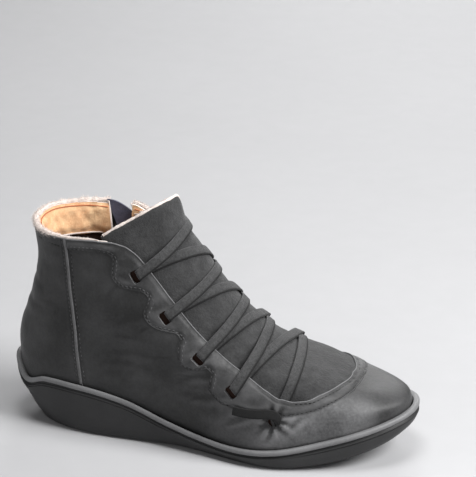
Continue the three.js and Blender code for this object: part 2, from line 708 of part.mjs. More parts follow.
// Zip: tape behind the leather, teeth in the opening, guard behind the tape.
const TAPE_DEPTH = WALL + GAP;
const zipTape = () =>
  strip(ZIP_LINE, medial, TAPE_WIDTH, 12, TAPE_DEPTH, TAPE_DEPTH + TAPE_THICKNESS, ZIP_LINE[0].row, 8.6);
function zipGuard() {
  const depth = TAPE_DEPTH + TAPE_THICKNESS + GAP;
  return strip(ZIP_LINE, medial, GUARD_WIDTH, 12, depth, depth + GUARD_THICKNESS, ZIP_LINE[0].row, 8.75);
}
const zipAngle = (row) => medial(curve(ZIP_LINE, "row", "angle", row));
const sliderPlace = { angle: zipAngle(SLIDER_ROW), row: SLIDER_ROW };
const sliderFrame = frameAt(sliderPlace, zipAngle(SLIDER_ROW + 0.5) - zipAngle(SLIDER_ROW - 0.5));
function zipTeeth() {
  const below = upperPoint(zipAngle(SLIDER_ROW - 0.5), SLIDER_ROW - 0.5);
  const rowsPerMm = 0.5 / below.distanceTo(upperPoint(sliderPlace.angle, SLIDER_ROW));
  const end = SLIDER_ROW - (SLIDER_LENGTH / 2 + 3 * GAP) * rowsPerMm;
  const depth = TAPE_DEPTH - GAP;
  const start = ZIP_LINE[0].row + 0.08;
  return strip(ZIP_LINE, medial, TEETH_WIDTH, 14, depth - TEETH_THICKNESS, depth, start, end);
}

// Slider and pull, made flat on X across, Y along the zip and Z outward, then set on the leather.
const SLIDER_BASE = -(TAPE_DEPTH - GAP);
const PIN_HEIGHT = SLIDER_BASE + SLIDER_HEIGHT + PIN_RADIUS + PIN_CLEARANCE + PULL_EYE_WALL + GAP;
const PIN_PLACE = SLIDER_LENGTH * 0.1; // the pin's place along the slider, above its middle
function roundedPlate(width, length, radius, thickness) {
  const [w, l] = [width / 2, length / 2];
  const shape = new THREE.Shape();
  shape.moveTo(-w + radius, -l);
  shape.lineTo(w - radius, -l);
  shape.absarc(w - radius, -l + radius, radius, -Math.PI / 2, 0);
  shape.lineTo(w, l - radius);
  shape.absarc(w - radius, l - radius, radius, 0, Math.PI / 2);
  shape.lineTo(-w + radius, l);
  shape.absarc(-w + radius, l - radius, radius, Math.PI / 2, Math.PI);
  shape.lineTo(-w, -l + radius);
  shape.absarc(-w + radius, -l + radius, radius, Math.PI, 1.5 * Math.PI);
  return new THREE.ExtrudeGeometry(shape, { depth: thickness, bevelEnabled: false, curveSegments: 2 });
}
const rod = (radius, length) => new THREE.CylinderGeometry(radius, radius, length, 10).rotateZ(Math.PI / 2);
function zipSlider() {
  const lugCentre = PULL_WIDTH / 2 + PIN_CLEARANCE + LUG_THICKNESS / 2;
  const lugRadius = PIN_RADIUS + PULL_EYE_WALL;
  const bodyTop = SLIDER_BASE + SLIDER_HEIGHT;
  const lugBase = bodyTop - 0.5;
  const body = roundedPlate(SLIDER_WIDTH, SLIDER_LENGTH, 1.8, SLIDER_HEIGHT).translate(0, 0, SLIDER_BASE);
  const lugs = [-1, 1].flatMap((side) => [
    rod(lugRadius, LUG_THICKNESS).translate(side * lugCentre, PIN_PLACE, PIN_HEIGHT),
    new THREE.BoxGeometry(LUG_THICKNESS, 2 * lugRadius, PIN_HEIGHT - lugBase).translate(
      side * lugCentre,
      PIN_PLACE,
      (PIN_HEIGHT + lugBase) / 2,
    ),
  ]);
  const pin = rod(PIN_RADIUS, 2 * lugCentre).translate(0, PIN_PLACE, PIN_HEIGHT);
  return joined([body, ...lugs, pin].map((piece) => placed(piece, sliderFrame)));
}
function zipPull() {
  const bore = PIN_RADIUS + PIN_CLEARANCE;
  const eye = rod(bore + PULL_EYE_WALL, PULL_WIDTH).translate(0, PIN_PLACE, PIN_HEIGHT);
  const plateLength = PULL_LENGTH - bore;
  const plate = roundedPlate(PULL_WIDTH, plateLength, 1.4, PULL_THICKNESS).translate(
    0,
    PIN_PLACE - bore - plateLength / 2 + 0.3,
    PIN_HEIGHT - PULL_THICKNESS / 2,
  );
  const hole = rod(bore, PULL_WIDTH + 2).translate(0, PIN_PLACE, PIN_HEIGHT);
  const grip = roundedPlate(PULL_WIDTH * 0.4, PULL_LENGTH * 0.3, 0.7, PULL_THICKNESS + 2).translate(
    0,
    PIN_PLACE - PULL_LENGTH * 0.78,
    PIN_HEIGHT - PULL_THICKNESS / 2 - 1,
  );
  const tab = joined([placed(eye, sliderFrame), placed(plate, sliderFrame)]);
  return tab.subtract(placed(hole, sliderFrame)).subtract(placed(grip, sliderFrame));
}

function geometryOf(made) {
  const { vertProperties, triVerts } = made.getMesh();
  const geometry = new THREE.BufferGeometry();
  geometry.setAttribute("position", new THREE.BufferAttribute(vertProperties.slice(), 3));
  geometry.setIndex(new THREE.BufferAttribute(triVerts.slice(), 1));
  geometry.computeVertexNormals();
  return geometry;
}
const material = (color, roughness, metalness = 0) => new THREE.MeshStandardMaterial({ color, roughness, metalness });
const rubber = material(0x3b3c3d, 0.55);
const leather = material(0x3e3e3f, 0.6);
const suede = material(0x4a4a4b, 0.9);
const webbing = material(0x48484a, 0.85);
const felt = material(0xd9935f, 0.95);
const zipFabric = material(0x17181b, 0.9);
const blackMetal = material(0x1c1d20, 0.35, 0.8);

const boot = new THREE.Group();
boot.position.x = -HEEL_CENTRE;
const PIECES = [
  { name: "outsole", make: outsole, material: rubber },
  { name: "insole", make: insole, material: felt },
  { name: "upper", make: upper, material: leather },
  { name: "tongue", make: tongue, material: suede },
  { name: "lace", make: lace, material: webbing },
  { name: "lace_knot", make: laceKnot, material: webbing },
  { name: "lace_end", make: laceEnd, material: webbing },
  { name: "zip_tape", make: zipTape, material: zipFabric },
  { name: "zip_guard", make: zipGuard, material: zipFabric },
  { name: "zip_teeth", make: zipTeeth, material: blackMetal },
  { name: "zip_slider", make: zipSlider, material: blackMetal },
  { name: "zip_pull", make: zipPull, material: blackMetal },
];
for (const piece of PIECES) {
  const mesh = new THREE.Mesh(geometryOf(piece.make()), piece.material);
  mesh.name = piece.name;
  boot.add(mesh);
}

export default boot;
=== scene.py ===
"""Looks of the right lace-up ankle boot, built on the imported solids.

It makes the leather panels, the suede tongue, the woven lace, the felt and fleece lining, the side zip and
the moulded sole. The form's functions work in millimetres, with x from the back of the sole's rim, and
to_frame() moves their points into the frame.
"""

import math

import bpy
import numpy as np
from mathutils import Matrix, Vector


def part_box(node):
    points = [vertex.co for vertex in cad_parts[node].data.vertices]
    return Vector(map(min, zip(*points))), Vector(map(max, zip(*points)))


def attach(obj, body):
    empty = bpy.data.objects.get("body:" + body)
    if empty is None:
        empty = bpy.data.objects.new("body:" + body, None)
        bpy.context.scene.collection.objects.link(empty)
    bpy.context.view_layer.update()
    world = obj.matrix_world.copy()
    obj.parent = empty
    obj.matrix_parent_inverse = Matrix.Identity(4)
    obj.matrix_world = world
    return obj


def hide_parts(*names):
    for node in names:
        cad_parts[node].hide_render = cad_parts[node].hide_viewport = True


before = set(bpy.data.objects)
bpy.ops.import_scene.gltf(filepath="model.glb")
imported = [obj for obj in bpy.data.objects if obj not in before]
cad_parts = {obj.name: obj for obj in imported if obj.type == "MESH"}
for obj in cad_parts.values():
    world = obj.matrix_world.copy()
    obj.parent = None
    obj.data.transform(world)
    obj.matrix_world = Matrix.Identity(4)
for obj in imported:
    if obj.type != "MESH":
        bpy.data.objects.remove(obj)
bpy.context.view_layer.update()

MM = 0.001
RNG = np.random.default_rng(7)

# Form of the last and the sole, as in the part
LENGTH = 272.0
BALL_WIDTH = 102.0
COLLAR_WIDTH = 62.0
RIM_HEIGHT = 41.0
UPPER_RISE = 120.0
TOE_SPRING = 18.0
ARCH_RISE = 1.2
HEEL_CENTRE = -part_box("outsole")[0].x / MM
GAP = 0.3
WALL = 2.2
OVERLAY = 0.7
LACE_WIDTH = 7.0
LACE_THICKNESS = 1.2
LACE_CLEARANCE = 0.6
SLOT_REACH = 2.6
SLOT_LENGTH = 8.4
ZIP_OPENING = 9.0
ZIP_EDGE = ZIP_OPENING / 2
ZIP_SPREAD = 8.0
TAPE_WIDTH = 22.0
GUARD_WIDTH = 17.0
TONGUE_THICKNESS = 2.5
TONGUE_CROWN = 1.8

# Looks of the pieces
LEATHER = 1.3
HEEL_LIFT = 0.55
QUARTER_LIFT = 0.75
PUCKER_DEPTH = 2.1
PUCKER_RADIUS = 6.2
SPREAD_ROW = 7.9
STITCH_PITCH = 2.9
STITCH_LENGTH = 2.1
STITCH_WIDTH = 0.62
STITCH_SINK = 0.12
GROOVE_DEPTH = 0.35
CUFF_DEPTH = 21.0
CUFF_TO_ZIP = 5.8
HOLE_RADIUS = 3.5
SLOT_CORNER = 1.1
TREAD_STEPS = 28
TREAD_PITCH = 13.0
TREAD_DEPTH = 1.6
TAIL_WIDTH = 6.2
TAIL_THICKNESS = 1.3
WAVES = 14


def table(columns, *rows):
    """Named columns from rows of numbers."""
    return dict(zip(columns.split(), np.array(rows, float).T))


OUTLINE = table(
    "along lateral medial",
    (0, 0.559, 0.559),
    (0.15, 0.466, 0.461),
    (0.35, 0.387, 0.358),
    (0.5, 0.436, 0.363),
    (0.68, 0.569, 0.47),
    (0.8, 0.578, 0.559),
    (0.9, 0.603, 0.627),
    (1, 0.627, 0.686),
)
LEVELS = table(
    "along rim footbed",
    (0, 1, 0.58),
    (0.035, 0.77, 0.57),
    (0.1, 0.866, 0.56),
    (0.18, 0.854, 0.54),
    (0.3, 0.72, 0.46),
    (0.42, 0.463, 0.31),
    (0.55, 0.293, 0.19),
    (0.7, 0.33, 0.19),
    (0.85, 0.56, 0.33),
    (1, 0.84, 0.61),
)
GIRTHS = table(
    "row back back_rise front front_rise foot ankle level",
    (1, 0.0147, 0, 0.983, 0, 0.91, 0, 0),
    (2, 0.013, 0.108, 0.971, 0.046, 0.884, 0.075, 0.35),
    (3, 0.02, 0.208, 0.926, 0.083, 0.728, 0.294, 0.7),
    (4, 0.033, 0.3, 0.849, 0.125, 0.522, 0.561, 0.93),
    (5, 0.046, 0.392, 0.75, 0.204, 0.287, 0.86, 1),
    (6, 0.057, 0.492, 0.647, 0.342, 0.114, 1.042, 1),
    (7, 0.0625, 0.592, 0.557, 0.529, 0, 1.129, 1),
    (8, 0.059, 0.696, 0.476, 0.758, 0, 1.048, 1),
    (9, 0.0515, 0.808, 0.397, 1, 0, 1, 1),
    (10, 0.044, 0.92, 0.32, 1.24, 0, 0.96, 1),
)
FEATHER = {"back": 0.024, "front": 0.972, "foot": 0.87}
LATERAL_EDGE = table(
    "angle row",
    (0, 8.85),
    (15, 8.75),
    (34, 8.6),
    (60, 8.52),
    (92, 8.5),
    (104, 8.42),
    (110, 8.27),
    (113.5, 8.0),
    (115.5, 7.6),
    (117, 7.1),
    (118, 6.4),
    (118.4, 5.6),
    (118.7, 4.8),
    (119, 4.1),
    (120, 3.5),
    (123, 3.15),
    (129, 3.08),
    (139, 3.42),
    (156, 3.88),
    (180, 4.12),
)
MEDIAL_EDGE = table(
    "angle row",
    (0, 8.85),
    (28, 8.95),
    (52, 8.87),
    (76, 8.76),
    (88, 8.68),
    (94, 8.69),
    (100, 8.69),
    (107, 8.52),
    (112, 8.12),
    (115, 7.62),
    (117, 7.1),
    (118, 6.4),
    (118.4, 5.6),
    (118.7, 4.8),
    (119, 4.1),
    (120, 3.5),
    (123, 3.15),
    (129, 3.1),
    (139, 3.42),
    (156, 3.88),
    (180, 4.12),
)
THROAT_ANGLE = 118.4
COUNTER_SEAM = table(
    "row angle", (0, 52), (1.3, 52), (3.2, 51.6), (5.3, 52.7), (7, 56), (8.45, 63.3), (9.5, 68)
)
VAMP_SEAM = table("row angle", (0, 72), (1.3, 83), (2.2, 94), (3.4, 105), (4.4, 118), (5, 127))
ZIP_LINE = table("row angle", (0.9, 62.3), (1.35, 63), (5, 70), (8.8, 84), (9.6, 87))
TONGUE_SIDES = table("row lateral medial", (2.4, 99, 100), (7.4, 97, 100), (8.3, 92, 97), (9.4, 91, 97))
TONGUE_TOP = table(
    "angle lateral medial",
    (90, 8.55, 8.4),
    (104, 8.77, 8.5),
    (120, 8.94, 8.7),
    (130, 9.02, 8.8),
    (140, 9.08, 8.9),
    (150, 9.115, 8.93),
    (160, 9.13, 8.93),
    (170, 9.12, 8.96),
    (176, 9.11, 9.02),
    (180, 9.1, 9.1),
)
TONGUE_FLARE = 7.4
TONGUE_LIFT = 3.2
TONGUE_BULGE = 1.7
TONGUE_TUCK = 0.52
SLIDER_ROW = 8.3

# Lace slots (angle from the heel on their own side, row)
LATERAL_SLOTS = [(105, 7.57), (107.5, 6.37), (106, 4.82), (107, 3.35)]
MEDIAL_SLOTS = [(108, 6.6), (107.5, 5.25), (108, 4.1), (113, 3.05)]
LATERAL_HOLE = (115, 2.15)
MEDIAL_HOLE = (104, 7.95)

# Outer edge of the stitched facing: under the collar, round each slot in a lobe, and under the throat.
FACING_LATERAL = [
    (66.2, 9.1),
    (64, 8.6),
    (62.4, 8.24),
    (63.5, 8.16),
    (67, 8.17),
    (75, 8.2),
    (84, 8.22),
    (91.5, 8.2),
    (95.5, 8.1),
    (93, 7.85),
    (89.8, 7.6),
    (88.6, 7.37),
    (91.1, 7.17),
    (97, 7.13),
    (103, 7.12),
    (104.6, 6.95),
    (100.3, 6.65),
    (96.8, 6.42),
    (95, 6.2),
    (95.3, 5.97),
    (98, 5.83),
    (103, 5.83),
    (106.6, 5.82),
    (106, 5.6),
    (101, 5.22),
    (96.3, 4.65),
    (93.4, 4.22),
    (93.8, 3.95),
    (98.5, 4.02),
    (104.6, 4.36),
    (105, 4.16),
    (102.3, 3.8),
    (98.7, 3.22),
    (98.9, 2.92),
    (100.2, 2.7),
    (103, 2.62),
    (107.1, 2.52),
    (112.3, 2.52),
    (118, 2.46),
    (123.2, 2.48),
    (130, 2.62),
    (136, 2.84),
    (142, 3.08),
    (149, 3.32),
    (156, 3.52),
    (168, 3.78),
    (180, 3.85),
]
MEDIAL_LOBES = {"near": 105.5, "far": 95.0, "half": 0.62}


def curve(rows, key, column, at):
    """Smooth curve through a table's column, with slopes from its neighbours."""
    x, y = rows[key], rows[column]
    at = np.clip(at, x[0], x[-1])
    i = np.clip(np.searchsorted(x, at, side="right") - 1, 0, len(x) - 2)
    h = np.diff(x)
    rate = np.diff(y) / h
    slope = np.concatenate([rate[:1], (rate[:-1] * h[1:] + rate[1:] * h[:-1]) / (h[:-1] + h[1:]), rate[-1:]])
    u = (at - x[i]) / h[i]
    start = y[i] * (2 * u**3 - 3 * u**2 + 1) + h[i] * slope[i] * (u**3 - 2 * u**2 + u)
    return start + y[i + 1] * (3 * u**2 - 2 * u**3) + h[i] * slope[i + 1] * (u**3 - u**2)


def ease(x):
    u = np.clip(x, 0, 1)
    return u * u * (3 - 2 * u)


def bump(x, width):
    """A soft bell, 1 at 0."""
    return np.exp(-((x / width) ** 2))


def share_of(angle):
    return (1 - np.cos(np.radians(angle))) / 2


def rim_half(angle):
    """Half-width of the rim before the sine of the angle."""
    s = share_of(angle)
    lateral, medial = (curve(OUTLINE, "along", side, s) for side in ("lateral", "medial"))
    return BALL_WIDTH * np.where(np.mod(angle, 360) <= 180, lateral, medial)


def rim_top(angle):
    return RIM_HEIGHT * curve(LEVELS, "along", "rim", share_of(angle))


def footbed(angle):
    return RIM_HEIGHT * curve(LEVELS, "along", "footbed", share_of(angle))


def underside(share):
    toe = np.maximum((share - 0.68) / 0.32, 0)
    arch = np.clip((share - 0.3) / 0.25, 0, 1)
    return TOE_SPRING * toe**2 + ARCH_RISE * np.sin(np.pi * arch) ** 2


def surface(angle, row):
    """Outer face of the upper. Angles run from the heel over the lateral side to 180 at the toe."""
    angle, row = np.broadcast_arrays(np.asarray(angle, float), np.asarray(row, float))
    s, sine = share_of(angle), np.sin(np.radians(angle))
    r = np.maximum(row, 1)

    def at(column):
        return curve(GIRTHS, "row", column, r)

    half = rim_half(angle) * at("foot") + COLLAR_WIDTH / 2 * at("ankle")
    chord = rim_top(0.0) + (rim_top(180.0) - rim_top(0.0)) * s
    rise = at("back_rise") + (at("front_rise") - at("back_rise")) * s
    girth = np.stack(
        [
            LENGTH * (at("back") + (at("front") - at("back")) * s),
            -half * sine,
            chord + UPPER_RISE * rise + (1 - at("level")) * (rim_top(angle) - chord),
        ],
        -1,
    )
    feather = np.stack(
        [
            LENGTH * (FEATHER["back"] + (FEATHER["front"] - FEATHER["back"]) * s),
            -rim_half(angle) * FEATHER["foot"] * sine,
            footbed(angle) + GAP,
        ],
        -1,
    )
    t = np.clip(row, 0, 1)[..., None]
    return feather + (girth - feather) * t


def unit(v):
    return v / np.maximum(np.linalg.norm(v, axis=-1, keepdims=True), 1e-9)


def around_step(angle, row):
    """The surface's change per degree."""
    return surface(np.add(angle, 0.6), row) * (1 / 1.2) - surface(np.subtract(angle, 0.6), row) * (1 / 1.2)


def up_step(angle, row):
    """The surface's change per row."""
    return (surface(angle, np.add(row, 0.02)) - surface(angle, np.subtract(row, 0.02))) / 0.04


def normal(angle, row):
    return unit(np.cross(around_step(angle, row), up_step(angle, row)))


def skin(angle, row, depth=0.0):
    """The surface moved inward by a depth, or outward by a negative one."""
    return surface(angle, row) - normal(angle, row) * np.asarray(depth, float)[..., None]


def to_frame(points):
    return (np.asarray(points, float) - (HEEL_CENTRE, 0, 0)) * MM


# Lines on the skin

def smooth(points, per_span=12):
    """A smooth line through given points."""
    p = np.array(points, float)
    p = np.vstack([2 * p[0] - p[1], p, 2 * p[-1] - p[-2]])
    u = np.linspace(0, 1, per_span, endpoint=False)[:, None]
    spans = []
    for a, b, c, d in zip(p, p[1:], p[2:], p[3:]):
        spans.append(
            0.5 * (2 * b + (c - a) * u + (2 * a - 5 * b + 4 * c - d) * u**2 + (3 * b - a - 3 * c + d) * u**3)
        )
    return np.vstack([*spans, p[-2:-1]])


def arc_length(points):
    return np.concatenate([[0], np.cumsum(np.linalg.norm(np.diff(points, axis=0), axis=1))])


def resample(points, spacing, *others):
    """Even steps along a line, for its points and for whatever goes with them."""
    gone = arc_length(points)
    steps = np.linspace(0, gone[-1], max(int(round(gone[-1] / spacing)), 1) + 1)
    found = [np.stack([np.interp(steps, gone, c) for c in np.asarray(o).T], -1) for o in (points, *others)]
    return found if others else found[0]


def even(places, spacing):
    """Angles and rows at even distances along the skin."""
    places = np.asarray(places, float)
    return resample(surface(places[:, 0], places[:, 1]), spacing, places)[1]


def offset(places, distance):
    """The line moved sideways over the skin, to the left of its way with the outside seen from above."""
    a, r = places.T
    across, up = around_step(a, r), up_step(a, r)
    step = np.gradient(surface(a, r), axis=0)
    side = unit(np.cross(normal(a, r), step)) * distance
    scale = np.linalg.norm(across, axis=1), np.linalg.norm(up, axis=1)
    return np.stack(
        [a + (side * unit(across)).sum(1) / scale[0], r + (side * unit(up)).sum(1) / scale[1]], -1
    )


def distance(points, line):
    """Distance from each point to a dense line, and the nearest step of the line."""
    flat = points.reshape(-1, 3)
    best, nearest = np.empty(len(flat)), np.empty(len(flat), int)
    for start in range(0, len(flat), 4096):
        part = flat[start : start + 4096]
        square = (part**2).sum(1)[:, None] + (line**2).sum(1) - 2 * part @ line.T
        nearest[start : start + 4096] = square.argmin(1)
        best[start : start + 4096] = np.sqrt(np.maximum(square.min(1), 0))
    return best.reshape(points.shape[:-1]), nearest.reshape(points.shape[:-1])


def inside(polygon, a, r):
    """Whether places lie in a closed outline of angles and rows."""
    found = np.zeros(a.shape, bool)
    for (a0, r0), (a1, r1) in zip(polygon, np.roll(polygon, -1, 0)):
        if r0 == r1:
            continue
        crosses = (r0 > r) != (r1 > r)
        found ^= crosses & (a < (a1 - a0) * (r - r0) / (r1 - r0) + a0)
    return found


def edge_row(angle):
    angle = np.mod(angle, 360)
    lateral = curve(LATERAL_EDGE, "angle", "row", angle)
    return np.where(angle <= 180, lateral, curve(MEDIAL_EDGE, "angle", "row", 360 - angle))


def edge_places():
    """The cut edge of collar and throat, from the heel over the lateral side and round."""
    angles = np.concatenate(
        [np.linspace(0, 104, 160), np.linspace(104.2, 122, 240), np.linspace(122.5, 237.5, 200)]
        + [np.linspace(238, 255.8, 240), np.linspace(256, 359.5, 160)]
    )
    return np.stack([angles, edge_row(angles)], -1)


EDGE = edge_places()
EDGE_LINE = surface(*EDGE.T)


def seam_angle(seam, row):
    return curve(seam, "row", "angle", row)


def seam_places(seam, first, last, side=1):
    rows = np.linspace(first, last, 90)
    return np.stack([seam_angle(seam, rows) * side % 360, rows], -1)


FACING_LINE = smooth(
    FACING_LATERAL[:-1]
    + [(180, 3.85)]
    + [(360 - a, r) for a, r in FACING_LATERAL[-2:-10:-1]]
)


def medial_facing():
    """The facing's edge up the medial side: a lobe round each slot and the knot's hole."""
    rows = np.linspace(2.62, 8.12, 120)
    slots = [r for _, r in MEDIAL_SLOTS] + [MEDIAL_HOLE[1]]
    lobe = np.max([ease(1.35 * (1 - abs(rows - r) / MEDIAL_LOBES["half"])) for r in slots], 0)
    angle = 360 - (MEDIAL_LOBES["near"] + (MEDIAL_LOBES["far"] - MEDIAL_LOBES["near"]) * lobe)
    return np.stack([angle, rows], -1)


FACING_OUTLINE = np.vstack(
    [FACING_LINE, medial_facing(), smooth([(264, 8.2), (268, 8.26), (271.5, 8.3), (271, 8.7), (270.5, 9.1)])]
)
FACING_OUTLINE = even(FACING_OUTLINE, 0.7)
FACING_POLYGON = np.vstack([FACING_OUTLINE[::2], [(260, 9.6), (180, 9.8), (80, 9.6)]])


# Relief of the leather: creases, seams and padding

CREASES = table(
    "angle row angle2 row2 bow depth width",
    (112, 5.05, 97, 4.3, 0.10, 0.3, 2.2),
    (104, 3.85, 88, 3.1, 0.12, 0.34, 2.4),
    (103, 3.0, 84, 2.45, -0.10, 0.34, 2.6),
    (116, 2.62, 100, 1.9, 0.10, 0.45, 2.2),
    (127, 2.4, 117, 1.55, 0.12, 0.3, 2.2),
    (94, 6.2, 74, 5.3, 0.10, 0.2, 2.4),
    (91, 4.9, 66, 4.35, 0.22, 0.22, 2.8),
    (86, 3.9, 64, 3.35, 0.16, 0.18, 2.4),
    (78, 3.1, 60, 2.5, 0.12, 0.2, 2.6),
    (90, 7.2, 78, 6.6, 0.08, 0.24, 2.0),
    (93, 5.75, 84, 5.2, 0.06, 0.22, 1.3),
    (92, 4.35, 82, 3.95, -0.05, 0.22, 1.2),
    (97, 2.8, 88, 2.2, 0.05, 0.24, 1.3),
    (95, 3.5, 86, 3.2, 0.06, 0.2, 1.1),
    (88, 6.0, 80, 5.75, 0.04, 0.16, 1.0),
    (107, 2.2, 97, 1.7, -0.05, 0.22, 1.3),
    (80, 4.75, 70, 4.6, 0.05, 0.14, 1.1),
    (76, 5.6, 67, 5.35, -0.04, 0.12, 1.1),
    (-8, 4.6, 40, 4.3, 0.14, 0.32, 3.4),
    (-20, 5.9, 34, 5.6, 0.12, 0.3, 3.4),
    (44, 5.2, 22, 4.9, 0.05, 0.16, 1.3),
    (-70, 5.1, -30, 4.7, 0.16, 0.34, 3.2),
    (-84, 4.4, -104, 3.9, 0.14, 0.5, 2.8),
    (-80, 3.6, -104, 2.9, 0.16, 0.5, 3.0),
    (-84, 2.8, -110, 2.2, 0.10, 0.45, 2.8),
    (-112, 2.6, -128, 1.7, 0.14, 0.4, 2.6),
    (-84, 6.0, -100, 5.6, 0.10, 0.3, 2.4),
    (-92, 4.9, -101, 4.5, 0.05, 0.22, 1.3),
)


def crease_line(c):
    """A bowed line between a crease's two ends."""
    t = np.linspace(0, 1, 40)
    angle = c["angle"] + (c["angle2"] - c["angle"]) * t
    row = c["row"] + (c["row2"] - c["row"]) * t + np.sin(np.pi * t) * c["bow"]
    return np.stack([angle, row], -1)


CREASE_LINES = [
    (surface(*crease_line(c).T), c["depth"], c["width"])
    for c in (dict(zip(CREASES, row)) for row in zip(*CREASES.values()))
]


def wobble(points, size, seed):
    """A soft random field over points, about -1 to 1, with swells of a size."""
    rng = np.random.default_rng(seed)
    field = np.zeros(points.shape[:-1])
    for way, phase in zip(unit(rng.normal(size=(WAVES, 3))), rng.uniform(0, 2 * np.pi, WAVES)):
        field += np.sin(points @ (way * 2 * np.pi / size * rng.uniform(0.7, 1.4)) + phase)
    return field / math.sqrt(WAVES)


def creases(points):
    """Troughs along the crease lines, deepest at mid-length, with low ridges beside them."""
    field = np.zeros(points.shape[:-1])
    for line, depth, width in CREASE_LINES:
        low, high = line.min(0) - 3 * width, line.max(0) + 3 * width
        near = ((points > low) & (points < high)).all(-1)
        away, nearest = distance(points[near], line)
        fade = np.sin(np.pi * (nearest + 1) / (len(line) + 1)) ** 0.7
        field[near] += fade * depth * (0.5 * bump(away - 1.6 * width, 0.8 * width) - bump(away, 0.75 * width))
    return field


HOLE_POINT = surface(*LATERAL_HOLE)


def frame_on(angle, row, drift=0.0):
    """Across, up the shaft and outward directions on the skin, and the point itself."""
    out = normal(angle, row)
    up = surface(angle + drift * 0.02, row + 0.02) - surface(angle - drift * 0.02, row - 0.02)
    up = unit(up - out * (up @ out))
    return np.cross(up, out), up, out, surface(angle, row)


def pucker(points):
    """Leather drawn in round the lace's lower hole, with folds running out from it."""
    across, up, _, centre = frame_on(*LATERAL_HOLE)
    away = np.linalg.norm(points - centre, axis=-1)
    turn = np.arctan2((points - centre) @ up, (points - centre) @ across)
    folds = np.sin(7 * turn + 0.8) + 0.6 * np.sin(11 * turn + 2.1 + away * 0.12)
    dip = -PUCKER_DEPTH * np.exp(-((away / PUCKER_RADIUS) ** 1.6))
    return dip + 0.5 * folds * bump(away - 7.0, 4.6) * (away > 2)


def relief(angle, row):
    """Height of the main leather over the plain skin."""
    p = surface(angle, row)
    fade = ease((row - 1.1) / 0.8)
    calm = 1 - 0.6 * ease((np.minimum(angle % 360, -angle % 360) - 112) / 24)
    swells = 0.28 * wobble(p, 46, 3) + 0.12 * wobble(p, 17, 4) + 0.04 * wobble(p, 7, 5)
    return fade * (creases(p) + calm * swells) + pucker(p)


def seam_relief(a, r, lines):
    """Stitched lines pressed into the leather."""
    p = surface(a, r)
    field = np.zeros(p.shape[:-1])
    for line in (surface(*even(places, 0.9).T) for places in lines):
        low, high = line.min(0) - 4, line.max(0) + 4
        near = ((p > low) & (p < high)).all(-1)
        field[near] -= GROOVE_DEPTH * bump(distance(p[near], line)[0], 0.55)
    return field


# Meshes

def mesh(name, points, faces, materials, kinds=None, angle=50, marks=None):
    """A smooth-shaded object from points in millimetres."""
    data = bpy.data.meshes.new(name)
    data.from_pydata(to_frame(points).tolist(), [], faces)
    for material in materials:
        data.materials.append(material)
    if kinds is not None:
        data.polygons.foreach_set("material_index", np.asarray(kinds, np.int32))
    for mark, values in (marks or {}).items():
        data.attributes.new(mark, "FLOAT", "POINT").data.foreach_set("value", np.asarray(values, np.float32))
    data.shade_smooth()
    data.set_sharp_from_angle(angle=math.radians(angle))
    made = bpy.data.objects.new(name, data)
    bpy.context.scene.collection.objects.link(made)
    return made


def piece(made, slot, *nodes, body="boot"):
    """Files an object under its body and hides the solids that it stands for; its slot is not used."""
    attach(made, body)
    if nodes:
        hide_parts(*nodes)
    return made


def wall_faces(count, around, looped=False):
    """Faces over rings of equal count, and from the last ring back to the first where they are looped."""
    i, j = np.meshgrid(np.arange(count if looped else count - 1), np.arange(around), indexing="ij")
    low, high, k = i * around, (i + 1) % count * around, (j + 1) % around
    return np.stack([low + j, low + k, high + k, high + j], -1).reshape(-1, 4).tolist()


def tube_faces(count, around):
    """Faces of a tube over rings of equal count, with both its ends closed."""
    last = (count - 1) * around
    return wall_faces(count, around) + [list(range(around))[::-1], list(range(last, last + around))]


def grid_cells(across, up):
    """The numbers of a grid's points, and the four corners of each of its cells."""
    index = np.arange(across * up).reshape(across, up)
    corners = np.stack([index[:-1, :-1], index[1:, :-1], index[1:, 1:], index[:-1, 1:]], -1)
    return index, corners.reshape(-1, 4)


def slab(outer, inner, turn=1):
    """Points and faces between two grids of points, closed all round. A turn of -1 flips its faces."""
    index, cells = grid_cells(*outer.shape[:2])
    n = index.size
    ring = [*index[:, 0], *index[-1, 1:], *index[::-1, -1][1:], *index[0, ::-1][1:-1]]
    rim = [[b, a, a + n, b + n][::turn] for a, b in zip(ring, ring[1:] + ring[:1])]
    faces = cells[:, ::turn].tolist() + (cells[:, ::-turn] + n).tolist() + rim
    return np.vstack([outer.reshape(-1, 3), inner.reshape(-1, 3)]), faces


def clip_cells(keep):
    """Faces where keep is positive, and the mixes of two grid points that close them at its nought."""
    _, corners = grid_cells(*keep.shape)
    k = keep.ravel()
    held = (k[corners] > 0).sum(1)
    faces = corners[held == 4].tolist()
    made, mixes = {}, []
    for cell in corners[(held > 0) & (held < 4)].tolist():
        face = []
        for p, q in zip(cell, cell[1:] + cell[:1]):
            if k[p] > 0:
                face.append(p)
            if (k[p] > 0) == (k[q] > 0):
                continue
            key = (min(p, q), max(p, q))
            if key not in made:
                made[key] = len(k) + len(mixes)
                mixes.append((*key, k[key[0]] / (k[key[0]] - k[key[1]])))
            face.append(made[key])
        faces.append(face)
    return faces, mixes


